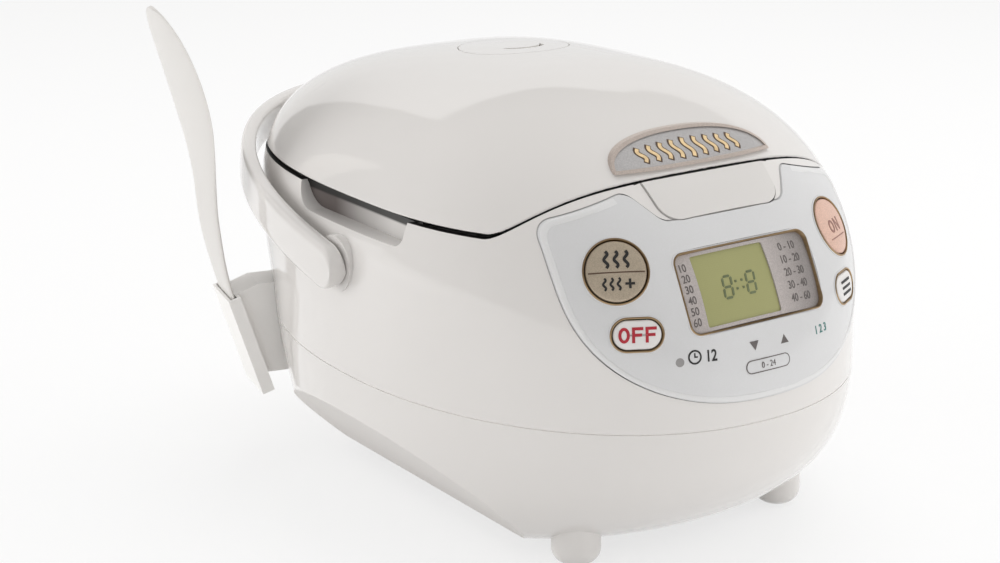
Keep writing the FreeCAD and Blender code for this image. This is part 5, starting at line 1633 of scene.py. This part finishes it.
@dataclass
class LidBadge:
    """Ornament on the lid's bare badge."""

    level: float = 179.2
    waves: int = 9
    pitch: float = 6.4
    tallest: float = 9.4
    fall: float = 0.8
    swing: float = 1.1
    shade_width: float = 2.9
    gold_width: float = 1.7
    gold_lift: float = 0.12

    def dress(self) -> None:
        """Print a row of steam waves, gold over a dark edge."""
        self.print_row("badge_shade", INK_BROWN, self.shade_width, 0.0)
        self.print_row("badge_waves", INK_GOLD, self.gold_width, self.gold_lift)

    def print_row(self, name: str, ink: Finish, width: float, lift: float) -> None:
        """Print one row of waves, lower towards its ends.

        Args:
            name: Name of the piece.
            ink: Its ink.
            width: Width of a wave's line.
            lift: Height above the badge.
        """
        row = Mark()
        for index in range(self.waves):
            place = index - (self.waves - 1) / 2
            length = self.tallest - self.fall * abs(place) + width
            row.add(wave(length, self.swing, width, turns=1.0), self.pitch * place)
        row.print_on(name, Seat(0.0, self.level, PANEL_FORM), lift, ink, Body.LID, Slot.BADGE)


@dataclass
class CarryingHandle:
    """Bow-shaped carrying handle with rounded edges."""

    half_width: float = 128.5
    reach: float = 187.0
    thick: float = 8.5
    power: float = 2.2
    half_height: float = 10.5
    tail_half_height: float = 8.25
    tilt: float = 10.7
    pivot: Place = (0.0, 8.0, 123.0)
    nose_steps: int = 10
    nose_tip: float = 0.15
    bow_steps: int = 72
    section_steps: int = 32
    squareness: float = 4.5

    def section(self, middle: Vector, out: Vector, half_height: float) -> list[Vector]:
        """Give one rounded section of the bow.

        Args:
            middle: Middle of the section.
            out: Direction away from the body.
            half_height: Half height of the section.

        Returns:
            Points round the section.
        """
        points = []
        for index in range(self.section_steps):
            angle = math.tau * index / self.section_steps
            east, north = math.cos(angle), math.sin(angle)
            across = math.copysign(abs(east) ** (2 / self.squareness), east) * self.thick / 2
            rise = math.copysign(abs(north) ** (2 / self.squareness), north) * half_height
            points.append(middle + out * across + Vector((0.0, 0.0, rise)))
        return points

    def nose(self, side: int) -> list[list[Vector]]:
        """Round off the front end of one arm.

        Args:
            side: 1 for the right arm, and -1 for the left one.

        Returns:
            Sections from the tip to the arm.
        """
        arm = side * (self.half_width - self.thick / 2)
        out = Vector((side, 0.0, 0.0))
        rings = []
        for index in range(self.nose_steps):
            angle = math.pi / 2 * (1 - (index + self.nose_tip) / self.nose_steps)
            middle = Vector((arm, -self.half_height * math.sin(angle), 0.0))
            rings.append(self.section(middle, out, self.half_height * math.cos(angle)))
        return rings

    def bow(self, inset: float, angle: float) -> Vector:
        """Give a point of the bow's plan.

        Args:
            inset: Distance in from the outer side.
            angle: Angle from the right arm.

        Returns:
            The point.
        """
        east, north = math.cos(angle), math.sin(angle)
        across, along = abs(east) / (self.half_width - inset), abs(north) / (self.reach - inset)
        radius = (across ** self.power + along ** self.power) ** (-1 / self.power)
        return Vector((radius * east, radius * north, 0.0))

    def build(self) -> None:
        """Make the handle."""
        rings = self.nose(1)
        for index in range(self.bow_steps + 1):
            angle = math.pi * index / self.bow_steps
            outer, inner = self.bow(0.0, angle), self.bow(self.thick, angle)
            middle = (outer + inner) / 2
            share = middle.y / (self.reach + self.thick)
            half_height = self.half_height + (self.tail_half_height - self.half_height) * share
            rings.append(self.section(middle, (outer - inner).normalized(), half_height))
        rings += reversed(self.nose(-1))
        turn = Matrix.Translation(self.pivot) @ Matrix.Rotation(math.radians(self.tilt), 4, "X")
        skin = skin_rings([[turn @ point for point in ring] for ring in rings])
        add_piece("carrying_bow", *skin, GLOSS_WHITE, Body.HANDLE, Slot.WHITE, ("handle",))


@dataclass
class RiceSpatula:
    """Rice spatula with a straight grip, a narrow neck and a cupped blade."""

    turn: float = 76.9
    side: float = 96.0
    reach: float = 103.0
    pocket_out: float = 11.5
    pocket_level: float = 35.0
    lift: float = 1.8
    tilts: tuple[float, float, float] = (17.4, 2.9, 24.0)
    lengths: tuple[float, float, float] = (45.0, 55.3, 96.0)
    twist: float = 7.0
    twist_start: float = 48.0
    half_thick: float = 1.2
    edge_half_thick: float = 0.8
    edge_power: int = 6
    cup: float = 1.6
    blade_start: float = 85.0
    bend_run: float = 50.0
    outline: tuple[Flat, ...] = (
        (0.0, 13.2), (2.0, 14.0), (46.0, 14.0), (64.0, 14.0), (80.0, 14.0), (94.0, 13.4), (109.0, 15.1),
        (124.0, 19.3), (139.0, 24.0), (154.0, 25.9), (169.0, 24.9), (182.0, 20.9), (190.5, 14.2),
        (194.5, 8.0), (196.3, 2.0),
    )
    stations: int = 120
    tip_crowding: float = 1.25
    across_steps: int = 15
    sharp: float = 60.0

    def spine(self, run: float) -> tuple[Vector, float]:
        """Follow the side view's bends.

        Args:
            run: Distance from the grip's end.

        Returns:
            Point out from and above the holder's place, and the lean there in radians.
        """
        start, neck, tip = (math.radians(tilt) for tilt in self.tilts)
        straight, first_bend, last_bend = self.lengths
        point = Vector((0.0, self.pocket_out, self.pocket_level))
        point += Vector((0.0, math.sin(start), math.cos(start))) * (self.lift + min(run, straight))
        run -= straight
        lean = start
        for first, last, length in ((start, neck, first_bend), (neck, tip, last_bend)):
            if run <= 0:
                break
            lean = first + (last - first) * min(run, length) / length
            chord = Vector((0.0, math.cos(first) - math.cos(lean), math.sin(lean) - math.sin(first)))
            point += chord * (length / (last - first))
            run -= length
        return point, lean

    def half_width(self, run: float) -> float:
        """Give the half width of the spatula at a distance from the grip's end, on a smooth curve.

        Args:
            run: Distance from the grip's end.

        Returns:
            The half width.
        """
        knots = self.outline
        last = len(knots) - 1
        index = 0
        while index < last - 1 and run > knots[index + 1][0]:
            index += 1
        before, start, end, after = (knots[min(max(index + step, 0), last)] for step in (-1, 0, 1, 2))
        span, rise = end[0] - start[0], end[1] - start[1]
        leave = (end[1] - before[1]) / (end[0] - before[0]) * span
        arrive = (after[1] - start[1]) / (after[0] - start[0]) * span
        share = (run - start[0]) / span
        bend = (leave - rise) * (1 - share) + (rise - arrive) * share
        return start[1] + rise * share + share * (1 - share) * bend

    def section(self, run: float) -> list[Vector]:
        """Give the rounded section across the spatula at a distance from the grip's end.

        Args:
            run: Distance from the grip's end.

        Returns:
            Points round the section, in the holder's own space.
        """
        middle, lean = self.spine(run)
        half = self.half_width(run)
        blade = eased((run - self.blade_start) / self.bend_run)
        twist = math.radians(self.twist) * eased((run - self.twist_start) / self.bend_run)
        turn = Matrix.Rotation(twist, 3, "Z")
        east = turn @ Vector((1.0, 0.0, 0.0))
        face = turn @ Vector((0.0, math.cos(lean), -math.sin(lean)))
        thick = self.half_thick + (self.edge_half_thick - self.half_thick) * blade
        widest = max(width for _, width in self.outline)
        ring = []
        for side in (1, -1):
            for step in range(self.across_steps):
                across = side * math.sin(math.pi * (step / (self.across_steps - 1) - 0.5))
                bulge = math.sqrt(max(0.0, 1 - across ** self.edge_power))
                dish = self.cup * blade * (half / widest) * (across * across - 0.5)
                ring.append(middle + east * (across * half) + face * (side * thick * bulge - dish))
        return ring

    def build(self) -> None:
        """Make the spatula."""
        stand = Matrix.Translation((-self.side, self.reach, 0.0))
        stand @= Matrix.Rotation(math.radians(self.turn), 4, "Z")
        total = self.outline[-1][0]
        rings = []
        for index in range(self.stations + 1):
            run = total * (1 - (1 - index / self.stations) ** self.tip_crowding)
            rings.append([stand @ point for point in self.section(run)])
        skin = skin_rings(rings)
        add_piece("spatula_paddle", *skin, SATIN_WHITE, Body.SPATULA, Slot.SPATULA, ("spatula",), self.sharp)


# Studio


@dataclass(frozen=True)
class SoftBox:
    """Square soft lamp that looks at a place, in metres and watts."""

    name: str
    place: Place
    aim: Place
    size: float
    power: float

    def hang(self) -> None:
        """Make the lamp, seen neither straight nor mirrored."""
        data = bpy.data.lights.new(self.name, "AREA")
        data.size, data.energy = self.size, self.power
        lamp = bpy.data.objects.new(self.name, data)
        lamp.location = self.place
        lamp.rotation_mode = "QUATERNION"
        lamp.rotation_quaternion = (Vector(self.aim) - Vector(self.place)).to_track_quat("-Z", "Y")
        lamp.visible_glossy = lamp.visible_camera = False
        bpy.context.scene.collection.objects.link(lamp)


@dataclass
class Studio:
    """Camera, lamps, floor and backdrop."""

    eye: Place = (-0.56575, -0.75510, 0.38633)
    ahead: Place = (0.54971, 0.78155, -0.29495)
    lens: float = 73.84
    sensor_width: float = 36.0
    view_range: Flat = (0.01, 50.0)
    floor_half: float = 4.0
    floor_drop: float = 0.0004
    floor_tone: float = 0.92
    floor_roughness: float = 0.7
    floor_glow: float = 0.7
    ambient: float = 0.62
    ambient_tint: Colour = (1.0, 0.99, 0.975)
    room: float = 0.36
    wall_edges: dict[Axis, Flat] = field(default_factory=lambda: {
        Axis.X: (0.04, 0.06), Axis.Y: (-0.35, 0.1), Axis.Z: (0.622, 0.608),
    })
    lamps: tuple[SoftBox, ...] = (
        SoftBox("top_box", (0.5, 0.3, 1.6), (0.0, 0.0, 0.12), size=1.4, power=11.5),
        SoftBox("left_box", (-1.5, 1.0, 0.3), (0.0, 0.0, 0.08), size=1.2, power=15.0),
        SoftBox("right_box", (1.6, -0.7, 0.7), (0.0, 0.0, 0.10), size=1.0, power=6.0),
        SoftBox("low_right_box", (0.6, -1.5, 0.05), (0.0, 0.0, 0.0), size=0.9, power=7.5),
        SoftBox("low_left_box", (-1.1, -1.2, 0.03), (0.0, 0.0, 0.0), size=0.7, power=2.2),
    )

    def build(self) -> None:
        """Set up the stage."""
        bpy.context.scene.view_settings.view_transform = "Standard"
        self.add_camera()
        self.add_floor()
        for lamp in self.lamps:
            lamp.hang()
        self.add_world()

    def add_camera(self) -> None:
        """Put the camera where the photograph was taken from."""
        data = bpy.data.cameras.new("photo_camera")
        data.lens, data.sensor_width = self.lens, self.sensor_width
        data.clip_start, data.clip_end = self.view_range
        camera = bpy.data.objects.new("photo_camera", data)
        camera.location = self.eye
        camera.rotation_mode = "QUATERNION"
        camera.rotation_quaternion = Vector(self.ahead).to_track_quat("-Z", "Y")
        bpy.context.scene.collection.objects.link(camera)
        bpy.context.scene.camera = camera

    def add_floor(self) -> None:
        """Lay a pale floor that the camera sees almost white, with the object's shadow on it."""
        half = self.floor_half
        corners = [(-half, -half, 0.0), (half, -half, 0.0), (half, half, 0.0), (-half, half, 0.0)]
        mesh = bpy.data.meshes.new("floor")
        mesh.from_pydata(corners, [], [(0, 1, 2, 3)])
        floor = bpy.data.objects.new("floor", mesh)
        floor.location.z = -self.floor_drop
        bpy.context.scene.collection.objects.link(floor)
        sheet = SurfaceSheet("pale_floor")
        sheet.shader.inputs["Base Color"].default_value = (*toned(WHITE, self.floor_tone), 1.0)
        sheet.fix(roughness=self.floor_roughness)
        glow = sheet.add("ShaderNodeEmission", strength=1.0)
        mix = sheet.add("ShaderNodeMixShader")
        sheet.join(sheet.remap(self.seen(sheet), target=(0.0, self.floor_glow)), mix.inputs["Fac"])
        sheet.join(sheet.shader.outputs["BSDF"], mix.inputs[1])
        sheet.join(glow.outputs["Emission"], mix.inputs[2])
        sheet.join(mix.outputs["Shader"], sheet.tree.nodes["Material Output"].inputs["Surface"])
        mesh.materials.append(sheet.material)

    def seen(self, sheet: NodeSheet) -> Socket:
        """Add a value that is one for what the camera sees, straight, mirrored or through something clear.

        Args:
            sheet: Node tree to add to.

        Returns:
            The value's socket.
        """
        path = sheet.add("ShaderNodeLightPath")
        total = path.outputs["Is Camera Ray"]
        for name in ("Is Glossy Ray", "Is Transmission Ray"):
            total = sheet.merge(Merge.LARGER, total, path.outputs[name])
        return total

    def add_world(self) -> None:
        """Light everything evenly, with a white backdrop and a bright wall in a dim room for mirroring."""
        world = bpy.data.worlds.new("studio")
        bpy.context.scene.world = world
        world.use_nodes = True
        sheet = NodeSheet(world.node_tree)
        soft = sheet.tree.nodes["Background"]
        soft.inputs["Color"].default_value = (*self.ambient_tint, 1.0)
        soft.inputs["Strength"].default_value = self.ambient
        mirrored = sheet.add("ShaderNodeBackground")
        sheet.join(self.wall(sheet), mirrored.inputs["Strength"])
        backdrop = sheet.add("ShaderNodeBackground")
        backdrop.inputs["Color"].default_value = (*WHITE, 1.0)
        path = sheet.add("ShaderNodeLightPath")
        light = soft.outputs["Background"]
        for ray, other in (("Is Glossy Ray", mirrored), ("Is Camera Ray", backdrop)):
            mix = sheet.add("ShaderNodeMixShader")
            sheet.join(path.outputs[ray], mix.inputs["Fac"])
            sheet.join(light, mix.inputs[1])
            sheet.join(other.outputs["Background"], mix.inputs[2])
            light = mix.outputs["Shader"]
        sheet.join(light, sheet.tree.nodes["World Output"].inputs["Surface"])

    def wall(self, sheet: NodeSheet) -> Socket:
        """Add the brightness of the room by direction: one on the wall, dim elsewhere.

        Args:
            sheet: Node tree to add to.

        Returns:
            The brightness.
        """
        split = sheet.add("ShaderNodeSeparateXYZ")
        sheet.join(sheet.add("ShaderNodeTexCoord").outputs["Generated"], split.inputs["Vector"])
        edges = self.wall_edges.items()
        total, *others = (sheet.remap(split.outputs[axis.value], run) for axis, run in edges)
        for share in others:
            total = sheet.merge(Merge.PRODUCT, total, share)
        return sheet.remap(total, target=(self.room, 1.0))


def main() -> None:
    """Dress the solids, build the finer pieces and set the stage."""
    logging.basicConfig(level=logging.INFO, format="%(message)s")
    Casing().dress()
    panel = ControlPanel()
    panel.build()
    panel.dress()
    LidBadge().dress()
    CarryingHandle().build()
    RiceSpatula().build()
    Studio().build()


if __name__ == "__main__":
    main()
